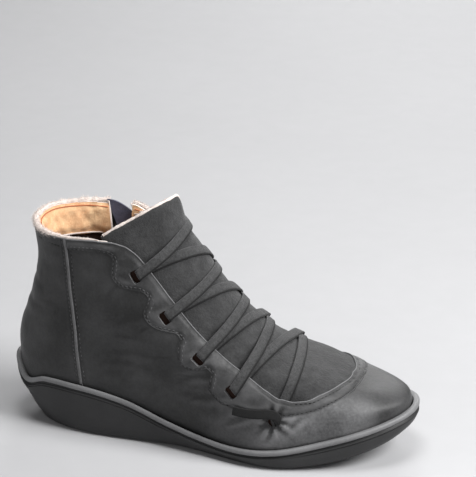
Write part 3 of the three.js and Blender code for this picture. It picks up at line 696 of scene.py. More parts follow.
def shell(name, angles, rows, keep, outer_of, thickness, materials, angle=50, marks=None):
    """A sheet over a grid, cut where keep turns negative: outer face, inner face and cut rim."""
    a, r = np.meshgrid(angles, rows, indexing="ij")
    outer = outer_of(a, r)
    inner = outer - normal(a, r) * np.asarray(thickness)[..., None]
    faces, mixes = clip_cells(keep(a, r))
    first, second, share = (np.array(c) for c in zip(*mixes)) if mixes else ([], [], np.zeros(0))
    first, second = np.asarray(first, int), np.asarray(second, int)
    share = np.clip(share, 0.05, 0.95)[:, None]

    def with_mixes(grid):
        flat = grid.reshape(-1, grid.shape[-1])
        return np.vstack([flat, flat[first] * (1 - share) + flat[second] * share])

    top, bottom = with_mixes(outer), with_mixes(inner)
    used = np.unique(np.concatenate([np.asarray(f) for f in faces]))
    place = np.full(len(top), -1)
    place[used] = np.arange(len(used))
    faces = [place[f].tolist() for f in faces]
    n = len(used)
    ways = {(f[i - 1], f[i]) for f in faces for i in range(len(f))}
    rim = [(b, a, a + n, b + n) for a, b in ways if (b, a) not in ways]
    under = [[v + n for v in reversed(f)] for f in faces]
    kinds = [0] * len(faces) + [1] * len(under) + [2] * len(rim)
    values = {}
    for mark, of in (marks or {}).items():
        v = with_mixes(of(a, r)[..., None])[used, 0]
        values[mark] = np.concatenate([v, v])
    points = np.vstack([top[used], bottom[used]])
    return mesh(name, points, faces + under + rim, materials, kinds, angle, values)


def loft(name, rings, materials, angle, marks=None, kinds=None):
    """Skins rings of equal count into a closed tube."""
    return mesh(name, rings.reshape(-1, 3), tube_faces(*rings.shape[:2]), materials, kinds, angle, marks)


def frames_along(points, across):
    """Ways, flats and thicks along a band, from its points and about where its width lies."""
    way = unit(np.gradient(points, axis=0))
    flat = unit(across - way * (across * way).sum(1, keepdims=True))
    return way, flat, np.cross(flat, way)


def band_rings(points, across, width, thickness, around):
    """Rings of a flat band with rounded edges, and where each of their points lies over its width."""
    _, flat, thick = frames_along(points, across)
    turn = np.linspace(0, 2 * np.pi, around, endpoint=False)
    u, v = (np.sign(c) * abs(c) ** power * 0.5 for c, power in ((np.cos(turn), 0.35), (np.sin(turn), 0.8)))
    width, thickness = (np.broadcast_to(size, len(points))[:, None, None] for size in (width, thickness))
    sideways = flat[:, None] * (u[None, :, None] * width)
    return points[:, None] + sideways + thick[:, None] * (v[None, :, None] * thickness), u


def tube_rings(points, radius, around):
    """Rings of a round cord."""
    _, flat, thick = frames_along(points, np.broadcast_to((0.3, 0.2, 1.0), points.shape))
    turn = np.linspace(0, 2 * np.pi, around, endpoint=False)[None, :, None]
    radius = np.broadcast_to(radius, len(points))[:, None, None]
    return points[:, None] + radius * (flat[:, None] * np.cos(turn) + thick[:, None] * np.sin(turn))


def join_parts(parts):
    """Points and faces of many small parts as one."""
    points, faces, start = [], [], 0
    for p, f in parts:
        points.append(p)
        faces.extend([[v + start for v in face] for face in f])
        start += len(p)
    return np.vstack(points), faces


STITCH = table(
    "along swell arch",
    (-0.5, 0.35, -0.28),
    (-0.36, 0.85, 0.02),
    (0, 1, 0.1),
    (0.36, 0.85, 0.02),
    (0.5, 0.35, -0.28),
)


def stitches(name, lines, lift_of, material):
    """Short threads lying end to end along lines of places."""
    turn = np.linspace(0, 2 * np.pi, 6, endpoint=False)[:, None]
    across, high = np.cos(turn) * STITCH_WIDTH / 2, np.sin(turn) * STITCH_WIDTH / 2
    along, swell, arch = (column[:, None, None] for column in STITCH.values())
    faces = tube_faces(len(along), len(turn))
    parts = []
    for line in lines:
        places = even(line, STITCH_PITCH)
        a, r = places[np.minimum(below_edge(*places.T), off_zip(*places.T)) > 1.2].T
        out = normal(a, r)
        p = surface(a, r) + out * (lift_of(a, r) - STITCH_SINK)[:, None]
        way = unit(np.gradient(p, axis=0) + RNG.normal(0, 0.05, p.shape) * STITCH_PITCH)
        side = unit(np.cross(out, way))
        p, way, side, out = (v[:, None, None] for v in (p, way, side, out))
        threads = p + way * (along * STITCH_LENGTH) + out * (arch + high * swell) + side * (across * swell)
        parts += [(thread.reshape(-1, 3), faces) for thread in threads]
    return mesh(name, *join_parts(parts), [material], angle=80)


# Finishes

def finish(name, dark, light, rough, swell=60, grain=900, relief_mm=0.12, sheen=0.0, metal=0.0, spec=0.4,
           wear_and_painted_light=0.0, pale=0.0):
    """A mottled, grained surface between a dark and a light colour, in shares of full colour."""
    material = bpy.data.materials.new(name)
    material.use_nodes = True
    tree = material.node_tree
    shader = tree.nodes["Principled BSDF"]
    new, link = tree.nodes.new, tree.links.new
    place = new("ShaderNodeTexCoord").outputs["Object"]

    def noise(scale, detail=4, roughness=0.55):
        found = new("ShaderNodeTexNoise")
        found.inputs["Scale"].default_value = scale
        found.inputs["Detail"].default_value = detail
        found.inputs["Roughness"].default_value = roughness
        link(place, found.inputs["Vector"])
        return found.outputs["Fac"]

    def sums(kind, first, second):
        found = new("ShaderNodeMath")
        found.operation = kind
        for socket, value in zip(found.inputs, (first, second)):
            if isinstance(value, (int, float)):
                socket.default_value = value
            else:
                link(value, socket)
        return found.outputs[0]

    mottle = sums("ADD", sums("MULTIPLY", noise(swell), 0.6), sums("MULTIPLY", noise(grain * 0.45, 3), 0.4))
    # A mark on the mesh moves the mottle: worn and toned leather, and painted shade and painted highlight where
    # a piece gives them.
    if wear_and_painted_light:
        wear_light_mark = new("ShaderNodeAttribute")
        wear_light_mark.attribute_name = "wear_and_painted_light"
        mottle = sums("ADD", mottle, sums("MULTIPLY", wear_light_mark.outputs["Fac"], wear_and_painted_light))
    ramp = new("ShaderNodeValToRGB")
    for end, position, tone in zip(ramp.color_ramp.elements, (0.22, 0.78), (dark, light)):
        end.position = position
        end.color = (*tone, 1)
    link(mottle, ramp.inputs["Fac"])
    tone = ramp.outputs["Color"]
    # The toe mark lightens the colour: a painted highlight along the toe's side.
    if pale:
        toe = new("ShaderNodeAttribute")
        toe.attribute_name = "toe"
        lighten = new("ShaderNodeHueSaturation")
        link(tone, lighten.inputs["Color"])
        link(sums("ADD", sums("MULTIPLY", toe.outputs["Fac"], pale), 1.0), lighten.inputs["Value"])
        tone = lighten.outputs["Color"]
    link(tone, shader.inputs["Base Color"])
    lump = new("ShaderNodeBump")
    lump.inputs["Strength"].default_value = 1.0
    lump.inputs["Distance"].default_value = relief_mm * MM
    height = sums("ADD", noise(grain, 5, 0.62), sums("MULTIPLY", noise(swell * 5, 3), 1.5))
    link(height, lump.inputs["Height"])
    link(lump.outputs["Normal"], shader.inputs["Normal"])
    uniform = {
        "Roughness": rough,
        "Metallic": metal,
        "Specular IOR Level": spec,
        "Sheen Weight": sheen,
        "Sheen Roughness": 0.45,
    }
    for socket, value in uniform.items():
        shader.inputs[socket].default_value = value
    return material


def colour(red, green, blue):
    """A colour from sRGB levels, as shares of full light."""
    return tuple(((c / 255 + 0.055) / 1.055) ** 2.4 for c in (red, green, blue))


def grey(level):
    """A slightly bluish grey of an sRGB level, as shares of full light."""
    red, green, blue = colour(level, level, level)
    return red, green, blue * 1.02


# Its pale share lightens the leather along the toe's side: a painted highlight.
LEATHER_FINISH = finish("leather", grey(15), grey(49), 0.52, swell=45, grain=1300, relief_mm=0.14, sheen=0.1,
                        wear_and_painted_light=0.6, pale=5.0)
FACING_FINISH = finish("facing_leather", grey(28), grey(66), 0.58, swell=70, grain=1300, relief_mm=0.14,
                       sheen=0.12, wear_and_painted_light=0.6)
FLESH_FINISH = finish("leather_flesh", grey(40), grey(70), 0.85, sheen=0.1)
RAW_FINISH = finish("leather_cut_edge", grey(80), grey(120), 0.85, sheen=0.1)
EDGE_FINISH = finish("light_edge", grey(80), grey(116), 0.8, swell=200, sheen=0.05)
WELT_FINISH = finish("welt_leather", grey(62), grey(104), 0.6, swell=90, grain=1300, sheen=0.15)
SUEDE_FINISH = finish("suede", grey(26), grey(62), 0.95, swell=140, grain=1200, relief_mm=0.3, sheen=0.2)
WEBBING_FINISH = finish("webbing", grey(22), grey(70), 0.85, swell=500, grain=1900, relief_mm=0.3, sheen=0.15,
                        wear_and_painted_light=0.5)
# Near-black webbing: painted shade on the lace's free end, and a painted shadow line along the lace's lower
# edges.
WEBBING_SHADE_FINISH = finish("webbing_painted_shade", grey(6), grey(20), 0.85, swell=500, grain=1900, relief_mm=0.3,
                     sheen=0.05, wear_and_painted_light=0.6)
RUBBER_FINISH = finish("rubber", grey(36), grey(50), 0.5, grain=1800, relief_mm=0.04, spec=0.3)
# Paler rubber along the sole's bead: a painted highlight.
BEAD_HIGHLIGHT_FINISH = finish("rubber_bead_painted_highlight", grey(92), grey(120), 0.5, grain=1800, relief_mm=0.04, spec=0.35)
FELT_FINISH = finish("felt", colour(190, 130, 90), colour(236, 206, 164), 0.95, swell=90, grain=2000,
                     relief_mm=0.2, sheen=0.3, spec=0.1)
FLEECE_FINISH = finish("fleece", colour(196, 180, 172), colour(234, 226, 220), 0.95, swell=420,
                       relief_mm=0.2, sheen=0.2, spec=0.1)
# Brown cord under the fleece roll: a painted shadow line beneath the collar's rim.
RIM_SHADOW_FINISH = finish("cuff_rim_painted_shadow", colour(150, 84, 56), colour(190, 120, 84), 0.9, swell=300, sheen=0.1,
                     spec=0.1)
LINING_FINISH = finish("lining", colour(34, 25, 22), colour(54, 38, 32), 0.95, swell=140, sheen=0.1, spec=0.1)
THREAD_FINISH = finish("thread", grey(14), grey(30), 0.8, swell=800, spec=0.2)
LOBE_THREAD_FINISH = finish("lobe_thread", grey(52), grey(108), 0.8, swell=800, spec=0.2)
TAPE_FINISH = finish("zip_fabric", grey(22), grey(38), 0.9, swell=600, grain=1400, relief_mm=0.15)
GUARD_FINISH = finish("zip_guard_fabric", colour(58, 58, 72), colour(88, 88, 106), 0.9, swell=300, grain=1400,
                      sheen=0.15)
METAL_FINISH = finish("black_metal", grey(36), grey(52), 0.32, relief_mm=0.02, metal=0.85, spec=0.5)


# Sole

SOLE_SECTIONS = table(
    "back front side share drop",
    (20, 10, 5, 0, 0),
    (19.2, 8.6, 4.3, 0, -0.25),
    (18.2, 7.0, 3.1, 0, -0.8),
    (17.2, 5.5, 2.25, 0.0, -1.5),
    (15.2, 4.4, 1.75, 0.09, -1.3),
    (12.6, 2.9, 1.1, 0.2, -0.9),
    (9.9, 1.8, 0.7, 0.33, -0.4),
    (7.9, 1.1, 0.45, 0.45, 0),
    (6.0, 0.75, 0.35, 0.56, 0.6),
    (4.2, 0.5, 0.3, 0.67, 1.4),
    (2.6, 0.35, 0.3, 0.78, 2.6),
    (1.4, 0.25, 0.3, 0.88, 4.4),
    (0.9, 0.25, 0.3, 0.96, 5.9),
    (0.7, 0.25, 0.3, 1, 6.9),
    (0.7, 0.35, 0.4, 1, 6.75),
    (1.3, 0.95, 1.0, 1, 6.65),
    (1.4, 1.05, 1.1, 1, 6.35),
    (1.3, 0.95, 1.0, 1, 6.05),
    (0.6, 0.35, 0.4, 1, 5.9),
    (0.55, 0.35, 0.4, 1, 5.5),
    (0.9, 0.7, 0.75, 1, 5.2),
    (1.6, 1.45, 1.5, 1, 4.9),
    (1.85, 1.75, 1.8, 1, 4.4),
    (1.7, 1.6, 1.6, 1, 3.9),
    (1.1, 1.0, 1.0, 1, 3.6),
    (0.45, 0.4, 0.4, 1, 3.2),
    (0.12, 0.1, 0.1, 1, 2.6),
    (0, 0, 0, 1, 1.9),
    (0.05, 0.05, 0.05, 1, 1.2),
    (0.35, 0.3, 0.3, 1, 0.55),
    (0.85, 0.8, 0.8, 1, 0.15),
    (1.5, 1.4, 1.5, 1, 0),
)
BEAD_FROM = 24
SOLE_COLUMNS = 480


def rim_loop(angle, back, front, side, z):
    """A loop round the sole, drawn in from the rim."""
    half = rim_half(angle) * (1 - side / (BALL_WIDTH / 2))
    x = back + (LENGTH - front - back) * share_of(angle)
    return np.stack(np.broadcast_arrays(x, -half * np.sin(np.radians(angle)), z), -1)


def tread(points, ring):
    """Faces of the underside across its lowest ring, with wavy grooves. It adds its points to the list."""
    n = len(ring)
    faces, previous = [], []
    for i in range(n // 2 + 1):
        right, left = ring[i], ring[-i]
        row = [i]
        for t in np.linspace(0, 1, TREAD_STEPS + 1)[1:-1]:
            p = right * (1 - t) + left * t
            wave = p[0] + 5 * np.cos((t - 0.5) * 2 * np.pi)
            inward = min(t, 1 - t) * abs(right[1] - left[1])
            cut = ease((inward - 5) / 0.8) * ease(1.9 - abs(wave % TREAD_PITCH - TREAD_PITCH / 2) / 1.5)
            arch = 1 - ease(1.4 - abs(share_of(i * 360 / n) - 0.43) / 0.11)
            row.append(len(points))
            points.append(p + (0, 0, TREAD_DEPTH * float(cut * arch)))
        row.append(-i % n)
        cells = [list(dict.fromkeys(cell)) for cell in zip(previous, previous[1:], row[1:], row)]
        faces += [cell for cell in cells if len(cell) > 2]
        previous = row
    return faces


def outsole():
    a = np.arange(SOLE_COLUMNS) * 360 / SOLE_COLUMNS
    low, top = underside(share_of(a)), rim_top(a)
    rings = [
        rim_loop(a, back, front, side, low + (top - low) * share - drop)
        for back, front, side, share, drop in zip(*SOLE_SECTIONS.values())
    ]
    inner = skin(a, np.ones_like(a), -GAP - 0.35)
    inner[:, 2] = top - 0.9
    bed = skin(a, np.zeros_like(a), -GAP)
    bed[:, 2] = footbed(a)
    rings += [inner, bed]
    count = len(rings) * SOLE_COLUMNS
    faces = wall_faces(len(rings), SOLE_COLUMNS)
    # The bead's faces take the paler rubber, a painted highlight along the sole.
    kinds = [BEAD_FROM <= face[0] // SOLE_COLUMNS < len(SOLE_SECTIONS["back"]) for face in faces]
    points = list(np.vstack(rings))
    faces += [list(range(count - SOLE_COLUMNS, count)), *tread(points, rings[0])]
    kinds += [False] * (len(faces) - len(kinds))
    made = mesh("outsole_rubber", np.array(points), faces, [RUBBER_FINISH, BEAD_HIGHLIGHT_FINISH], kinds, 38)
    piece(made, "rubber", "outsole")


def insole():
    a = np.arange(180) * 2.0
    n = len(a)
    base = skin(a, np.zeros_like(a), WALL + 2 * GAP)
    rings = []
    for rise, draw in ((0, 0), (1.5, 0), (2.6, 0.02), (3.0, 0.06)):
        ring = base * (1, 1 - draw, 1)
        ring[:, 2] = footbed(a) + GAP + rise
        rings.append(ring)
    faces = wall_faces(len(rings), n)
    for first, turn in ((0, -1), ((len(rings) - 1) * n, 1)):
        for i in range(n // 2):
            cell = dict.fromkeys([i, i + 1, (n - i - 1) % n, (n - i) % n])
            faces.append([first + v for v in cell][::turn])
    piece(mesh("insole_felt", np.vstack(rings), faces, [FELT_FINISH], angle=60), "felt", "insole")


# Leather panels

ROWS = np.concatenate([[0, 0.5, 0.85], np.arange(1.0, 9.16, 0.09)])
SLOTS = LATERAL_SLOTS + [(360 - a, r) for a, r in MEDIAL_SLOTS]
HOLES = [LATERAL_HOLE, (360 - MEDIAL_HOLE[0], MEDIAL_HOLE[1])]
ZIP_LINE_POINTS = surface(*even(seam_places(ZIP_LINE, 1.7, 9.6, -1), 0.8).T)
FACING_POINTS = surface(*FACING_OUTLINE.T)
THROAT = even(EDGE[(EDGE[:, 0] > 58) & (EDGE[:, 0] < 276)], 0.8)


def outside_slots(a, r):
    """Distance outside the lace slots and holes."""
    p = surface(a, r)
    found = np.full(a.shape, 99.0)
    for angle, row in SLOTS:
        across, up, out, centre = frame_on(angle, row)
        heelward = (p - centre) @ across * (-1 if angle < 180 else 1)
        u = abs(heelward - SLOT_REACH / 2) - SLOT_REACH / 2 - 0.5
        v = abs((p - centre) @ up) - (SLOT_LENGTH / 2 - SLOT_CORNER)
        away = np.hypot(np.maximum(u, 0), np.maximum(v, 0)) - SLOT_CORNER
        found = np.minimum(found, np.where(abs((p - centre) @ out) < 12, away, 99))
    for angle, row in HOLES:
        found = np.minimum(found, np.linalg.norm(p - surface(angle, row), axis=-1) - HOLE_RADIUS)
    return found


def below_edge(a, r):
    """Distance below the cut edge of collar and throat."""
    away, _ = distance(surface(a, r), EDGE_LINE)
    return np.where(r < edge_row(a), away, -away)


def zip_spread(row):
    """How far the opening spreads forward above the slider."""
    return ZIP_SPREAD * ease((row - SPREAD_ROW) / 0.8)


def from_zip(a, r):
    return distance(surface(a, r), ZIP_LINE_POINTS)[0]


def off_zip(a, r):
    """Distance outside the zip's opening."""
    front = (np.mod(a, 360) > 180) & (np.mod(a, 360) < 360 - seam_angle(ZIP_LINE, r))
    return from_zip(a, r) - ZIP_EDGE - front * zip_spread(r)


def beyond_seam(seam, side, overlap):
    """Signed distance past a seam in the way of growing angles, with a tuck under its neighbour."""
    line = surface(*even(seam_places(seam, 0, seam["row"][-1], side), 0.8).T)

    def keep(a, r):
        away, _ = distance(surface(a, r), line)
        angle = np.where(a < 0, a + 360, a) if side < 0 else a
        at = seam_angle(seam, r)
        return np.where(angle > (at if side > 0 else 360 - at), away, -away) + overlap

    return keep


PAST_COUNTER = beyond_seam(COUNTER_SEAM, 1, 0)
PAST_VAMP = beyond_seam(VAMP_SEAM, -1, 0)


def parallels(places, *distances):
    return [offset(places, d) for d in distances]


COUNTER_STITCHES = parallels(seam_places(COUNTER_SEAM, 1.25, 8.5), -2.6, 2.5)
VAMP_STITCHES = parallels(seam_places(VAMP_SEAM, 1.25, 4.3, -1), -2.0, -4.6)
ZIP_HEEL_STITCHES = parallels(seam_places(ZIP_LINE, 1.35, 8.7, -1), -ZIP_EDGE - 2.2, -ZIP_EDGE - 4.8)
ZIP_FRONT = seam_places(ZIP_LINE, 1.35, 8.65, -1)
ZIP_FRONT_STITCHES = parallels(ZIP_FRONT, ZIP_EDGE + 2.4 + zip_spread(ZIP_FRONT[:, 1:]))
OFF_TOE = abs(FACING_OUTLINE[:, 0] - 180)
UNDER_THROAT = (OFF_TOE < 52) | ((OFF_TOE < 78) & (FACING_OUTLINE[:, 1] < 2.75))
LOBE_EDGES = [
    FACING_OUTLINE[: UNDER_THROAT.argmax()],
    FACING_OUTLINE[len(UNDER_THROAT) - UNDER_THROAT[::-1].argmax() :],
]
LOBE_STITCHES = LOBE_EDGES + [offset(line, 2.0) for line in LOBE_EDGES]
VAMP_EDGE_STITCHES = [FACING_OUTLINE[UNDER_THROAT]]
THROAT_STITCHES = parallels(THROAT[(THROAT[:, 0] > 119.5) & (THROAT[:, 0] < 240.5)], -2.3)
COLLAR_STITCHES = [even([(a, float(edge_row(a)) - 0.33) for a in np.linspace(-68, 62, 60)], 1.0)]


def heel_relief(a, r):
    """The heel panel, lapped over the quarter at the counter seam."""
    pressed = seam_relief(a, r, [COUNTER_STITCHES[1], *ZIP_HEEL_STITCHES, *COLLAR_STITCHES])
    return HEEL_LIFT + relief(a, r) + pressed


def main_relief(a, r):
    return relief(a, r) + seam_relief(a, r, [COUNTER_STITCHES[0]])


def quarter_relief(a, r):
    """The medial quarter, lapped over the forepart at the vamp seam."""
    return QUARTER_LIFT + relief(a, r) + seam_relief(a, r, [*VAMP_STITCHES, *ZIP_FRONT_STITCHES])


def facing_relief(a, r):
    """The padded facing: swelling inside its stitched line, with a soft fold at the throat."""
    p = surface(a, r)
    rim, _ = distance(p, FACING_POINTS)
    throat, _ = distance(p, EDGE_LINE)
    beside = 1 - 0.8 * ease((np.minimum(a, 360 - a) - 110) / 14)
    puff = 0.95 * beside * ease((rim - 0.3) / 3.2) * ease((throat - 0.6) / 3.0)
    under = ease((np.minimum(a, 360 - a) - 116) / 4)
    pressed = 0.5 * bump(rim, 0.6) + 0.4 * under * bump(throat - 2.3, 0.55)
    return OVERLAY + relief(a, r) + puff * (0.75 + 0.25 * wobble(p, 9, 9)) - pressed


def toe_highlight(a, r):
    """How far the leather is painted pale along the toe's side: a painted highlight."""
    from_heel = np.minimum(a % 360, -a % 360)
    side = ease((from_heel - 84) / 40) * (1 - 0.8 * ease((from_heel - 134) / 28))
    return side * (1 - ease((r - 2.9) / 1.4)) * (0.85 + 0.15 * wobble(surface(a, r), 30, 14))


def panel(name, angles, limits, lift_of, finish_of, thickness=LEATHER, rows=ROWS):
    """A panel of leather, raised by its relief and cut off at each of its limits."""

    def keep(a, r):
        return np.minimum.reduce([outside_slots(a, r), below_edge(a, r), *(limit(a, r) for limit in limits)])

    def outer(a, r):
        return skin(a, r, -lift_of(a, r))

    # Paler on ridges as worn leather, darker in creases as painted shade, patches of tone at random, and
    # painted shade in the puckered hollow round the lower hole.
    def wear_and_painted_light(a, r):
        lift, p = lift_of(a, r), surface(a, r)
        around = sum(np.roll(lift, shift, axis) for axis in (0, 1) for shift in (3, -3)) / 4
        patches = (0.2 * wobble(p, 24, 11) + 0.16 * wobble(p, 60, 12)) * (1 - 0.7 * toe_highlight(a, r))
        hole_shade = 1.5 * bump(np.linalg.norm(p - HOLE_POINT, axis=-1), 5.2)
        return np.clip(1.3 * (lift - around), -0.4, 0.5) + patches - hole_shade

    materials = [finish_of, FLESH_FINISH, RAW_FINISH]
    marks = {"wear_and_painted_light": wear_and_painted_light, "toe": toe_highlight}
    piece(shell(name, angles, rows, keep, outer, thickness, materials, 45, marks), "leather", "upper")


def zip_side(heelward):
    """Signed distance from the zip's opening, on the heel's side of it or on the front's."""

    def keep(a, r):
        away = off_zip(a, r)
        edge = seam_angle(ZIP_LINE, r)
        side = np.where(a > 180, a - 360, a) > -edge if heelward else np.mod(a, 360) < 360 - edge
        return np.where(side, away, -from_zip(a, r) - ZIP_EDGE)

    return keep


def off_throat(a, r):
    """Distance outside the strip along the throat where only the facing covers the tongue."""
    return below_edge(a, r) - 7 * ease((np.minimum(a, 360 - a) - 112) / 8)


def upper_panels():
    panel("heel_counter", np.arange(-90, 68, 0.6), [lambda a, r: 0.8 - PAST_COUNTER(a, r), zip_side(True)],
          heel_relief, LEATHER_FINISH)
    panel("forepart", np.arange(48, 300, 0.55),
          [lambda a, r: PAST_COUNTER(a, r) + 3, lambda a, r: 4 - PAST_VAMP(a, r), off_throat],
          main_relief, LEATHER_FINISH)
    panel("inner_quarter", np.arange(232, 306, 0.6), [PAST_VAMP, zip_side(False)], quarter_relief,
          LEATHER_FINISH)
    panel("facing", np.arange(60, 276, 0.4), [in_facing, zip_side(False)], facing_relief, FACING_FINISH, 1.2,
          np.arange(2.2, 9.16, 0.055))


def in_facing(a, r):
    away, _ = distance(surface(a, r), FACING_POINTS)
    return np.where(inside(FACING_POLYGON, a, r), away, -away) + 0.8


# Lining, felt cuff and the fleece roll along the collar

COLLAR = EDGE[(EDGE[:, 0] <= 112) | (EDGE[:, 0] >= 248)]
COLLAR = np.vstack([COLLAR[COLLAR[:, 0] >= 248], COLLAR[COLLAR[:, 0] <= 112] + (360, 0)])


def lining():
    rows = np.concatenate([[0, 0.5], np.arange(1, 9.1, 0.16)])

    def keep_heel(a, r):
        return np.minimum(below_edge(a % 360, r) - 1.5, zip_side(True)(a, r) + 2)

    def keep_front(a, r):
        return np.minimum(off_throat(a, r) - 1.5, zip_side(False)(a, r) - 2)

    def outer(a, r):
        return skin(a, r, LEATHER + 0.15 - np.minimum(relief(a, r), 0.2))

    for end, first, last, keep in (("heel", -90, 91, keep_heel), ("front", 90, 300, keep_front)):
        angles = np.arange(first, last, 1.0)
        piece(shell("lining_" + end, angles, rows, keep, outer, 0.7, [LINING_FINISH] * 3), "felt")


def cuff_end(row):
    """How far the felt's end stays from the zip's middle, less and less towards the collar."""
    return np.clip(3.0 + 5.3 * (8.75 - row), 3.0, ZIP_EDGE + 4.6)


def cuff():
    """Felt inside the collar, ending at the zip and at the tongue."""
    rows = np.arange(6.2, 9.1, 0.07)

    def keep_heel(a, r):
        down = below_edge(a % 360, r)
        waves = 0.8 * np.sin(np.radians(a * 5)) + 0.5 * np.sin(np.radians(a * 13))
        end = zip_side(True)(a, r) - cuff_end(r) + ZIP_EDGE
        return np.minimum(np.minimum(down - 0.2, CUFF_DEPTH + waves - down), end)

    def keep_front(a, r):
        down = below_edge(a, r)
        end = zip_side(False)(a, r) - np.maximum(CUFF_TO_ZIP - zip_spread(r), 0.3)
        return np.minimum(np.minimum(down - 0.2, CUFF_DEPTH - down), end)

    def outer(a, r):
        return skin(a, r, LEATHER + 0.9 + 1.3 * ease((13 - off_zip(a % 360, r)) / 8))

    materials = [FELT_FINISH, FELT_FINISH, FLEECE_FINISH]
    for end, first, last, keep in (("heel", -90, 96, keep_heel), ("front", 253, 300, keep_front)):
        angles = np.arange(first, last, 0.7)
        a, r = np.meshgrid(angles, rows, indexing="ij")
        down = below_edge(a % 360, r)
        padding = 1.4 * ease(down / 5) * ease((CUFF_DEPTH - down) / 5)
        thickness = 1.2 + padding + 0.35 * wobble(surface(a, r), 8, 21)
        piece(shell("cuff_" + end, angles, rows, keep, outer, thickness, materials), "felt")


def cord_along(name, points, radius, material, slot):
    """A thin cord or binding along a line of points."""
    piece(loft(name, tube_rings(resample(points, 1.0), radius, 8), [material], 80), slot)


def cuff_bindings():
    """The light bound edge of the felt cuff, down beside the zip and along its lower edge."""
    down = np.linspace(9.2, 6.2, 40)
    for name, away, last in (("cuff_binding_heel", -1, 95.0), ("cuff_binding_front", 1, 258.0)):
        line = seam_places(ZIP_LINE, 6.9, 8.8, -1)
        spread = ZIP_EDGE + np.maximum(CUFF_TO_ZIP, zip_spread(line[:, 1:]) + 0.3)
        side = offset(line, away * (cuff_end(line[:, 1:]) if away < 0 else spread))[::-1]
        side = side[below_edge(*side.T) < CUFF_DEPTH]
        end = side[-1, 0]
        turn = np.linspace(end - 360, last, 60) if away < 0 else np.linspace(end, last, 14)
        rows = [np.interp(CUFF_DEPTH, below_edge(np.full(40, a % 360), down), down) for a in turn]
        line = np.vstack([skin(*side.T, 4.6), skin(turn, np.array(rows), 3.6)])
        cord_along(name, soften(resample(line, 1.0), 3), 0.55, FLEECE_FINISH, "fleece")


def fibres(points, out, spread, length, width, rng):
    """Fine tapering hairs standing on points, leaning about."""
    lean = unit(out + rng.normal(0, spread, points.shape))
    side = unit(np.cross(lean, rng.normal(size=points.shape)))
    third = np.cross(lean, side)
    long = (length * rng.uniform(0.5, 1.2, len(points)))[:, None]
    base = [points + width * (side * c + third * s) for c, s in ((1, 0), (-0.5, 0.87), (-0.5, -0.87))]
    bend = unit(rng.normal(size=points.shape)) * long * 0.25
    mid = [points + lean * long * 0.55 + bend + 0.6 * (b - points) for b in base]
    tip = points + lean * long + bend * 2.2
    cells = np.stack([*base, *mid, tip], 1).reshape(-1, 3)
    pattern = np.array(
        [(0, 1, 4), (0, 4, 3), (1, 2, 5), (1, 5, 4), (2, 0, 3), (2, 3, 5), (3, 4, 6), (4, 5, 6), (5, 3, 6)]
    )
    faces = (np.arange(len(points))[:, None, None] * 7 + pattern).reshape(-1, 3).tolist()
    return cells, faces


def fleece_roll(name, line, radius, count, length=2.0):
    """A fluffy roll along a line of points. Its radius goes by the share of the way along."""
    points = resample(line, 1.0)
    rng = np.random.default_rng(31)
    gone = arc_length(points)
    swell = radius(gone / gone[-1]) * (1 + 0.16 * wobble(points, 7, 33) + 0.1 * wobble(points, 3, 34))
    core = tube_rings(points, swell, 12).reshape(-1, 3)
    chosen = rng.integers(0, len(core), count)
    out = unit(core[chosen] - points[chosen // 12])
    long = length * np.repeat(swell, 12)[chosen] / 2.3
    hairs = fibres(core[chosen] - out * 0.2, out, 0.5, long, 0.09, rng)
    parts = [(core, tube_faces(len(points), 12)), hairs]
    piece(mesh(name, *join_parts(parts), [FLEECE_FINISH], angle=80), "fleece")


def collar_part(first, last):
    return COLLAR[(COLLAR[:, 0] > first) & (COLLAR[:, 0] < last)].T


def collar_rolls():
    a, r = collar_part(360 - 80, 360 + 89)
    depth = 0.9 + ease((a - 360 - 40) / 50)
    fleece_roll("fleece_collar_heel", skin(a, r + 0.015, depth),
                lambda s: 1.75 - 0.95 * ease((s - 0.62) / 0.3) - 0.5 * ease((s - 0.94) / 0.06), 6500)
    # Brown cords under the collar's fleece roll: a painted shadow line beneath its rim.
    for name, first, last in (("cuff_rim_painted_shadow_heel", 282, 400), ("cuff_rim_painted_shadow_front", 250, 261)):
        a, r = collar_part(first, last)
        depth = 4.2 + 1.3 * ease((13 - off_zip(a % 360, r)) / 8)
        cord_along(name, skin(a, r - 0.13, depth), 0.4, RIM_SHADOW_FINISH, "felt")
    a, r = collar_part(250, 262)
    fleece_roll("fleece_collar_front", skin(a, r - 0.02, 1.4), lambda s: 1.5, 1400)


def welt(name, places, width, height, lift):
    """A rounded ridge of leather along a line of places."""
    a, r = even(places, 1.0).T
    p, out = surface(a, r), normal(a, r)
    side = unit(np.cross(out, np.gradient(p, axis=0)))
    turn = np.linspace(0, np.pi, 9)
    rise = np.concatenate([np.sin(turn) * height, [-0.5]])
    reach = np.concatenate([np.cos(turn) * width / 2, [0]])
    base = p + out * lift(a, r)[:, None]
    rings = base[:, None] + side[:, None] * reach[None, :, None] + out[:, None] * rise[None, :, None]
    piece(loft(name, rings, [WELT_FINISH], 60), "leather")


def seams_and_edges():
    welt("counter_welt", seam_places(COUNTER_SEAM, 1.05, 8.5), 2.0, 0.6, heel_relief)
    welt("vamp_welt", seam_places(VAMP_SEAM, 1.05, 4.2, -1), 1.6, 0.5, quarter_relief)
    a, r = EDGE[(EDGE[:, 0] > 90) & (EDGE[:, 0] < 262)].T
    depth = 0.15 - facing_relief(a, r - 0.05)
    cord_along("throat_cut_edge", skin(a, r, depth), 0.42, EDGE_FINISH, "leather")
    collar = skin(*collar_part(360 - 78, 360 + 99), -0.45)
    cord_along("collar_cut_edge", collar, 0.4, EDGE_FINISH, "leather")


# Tongue

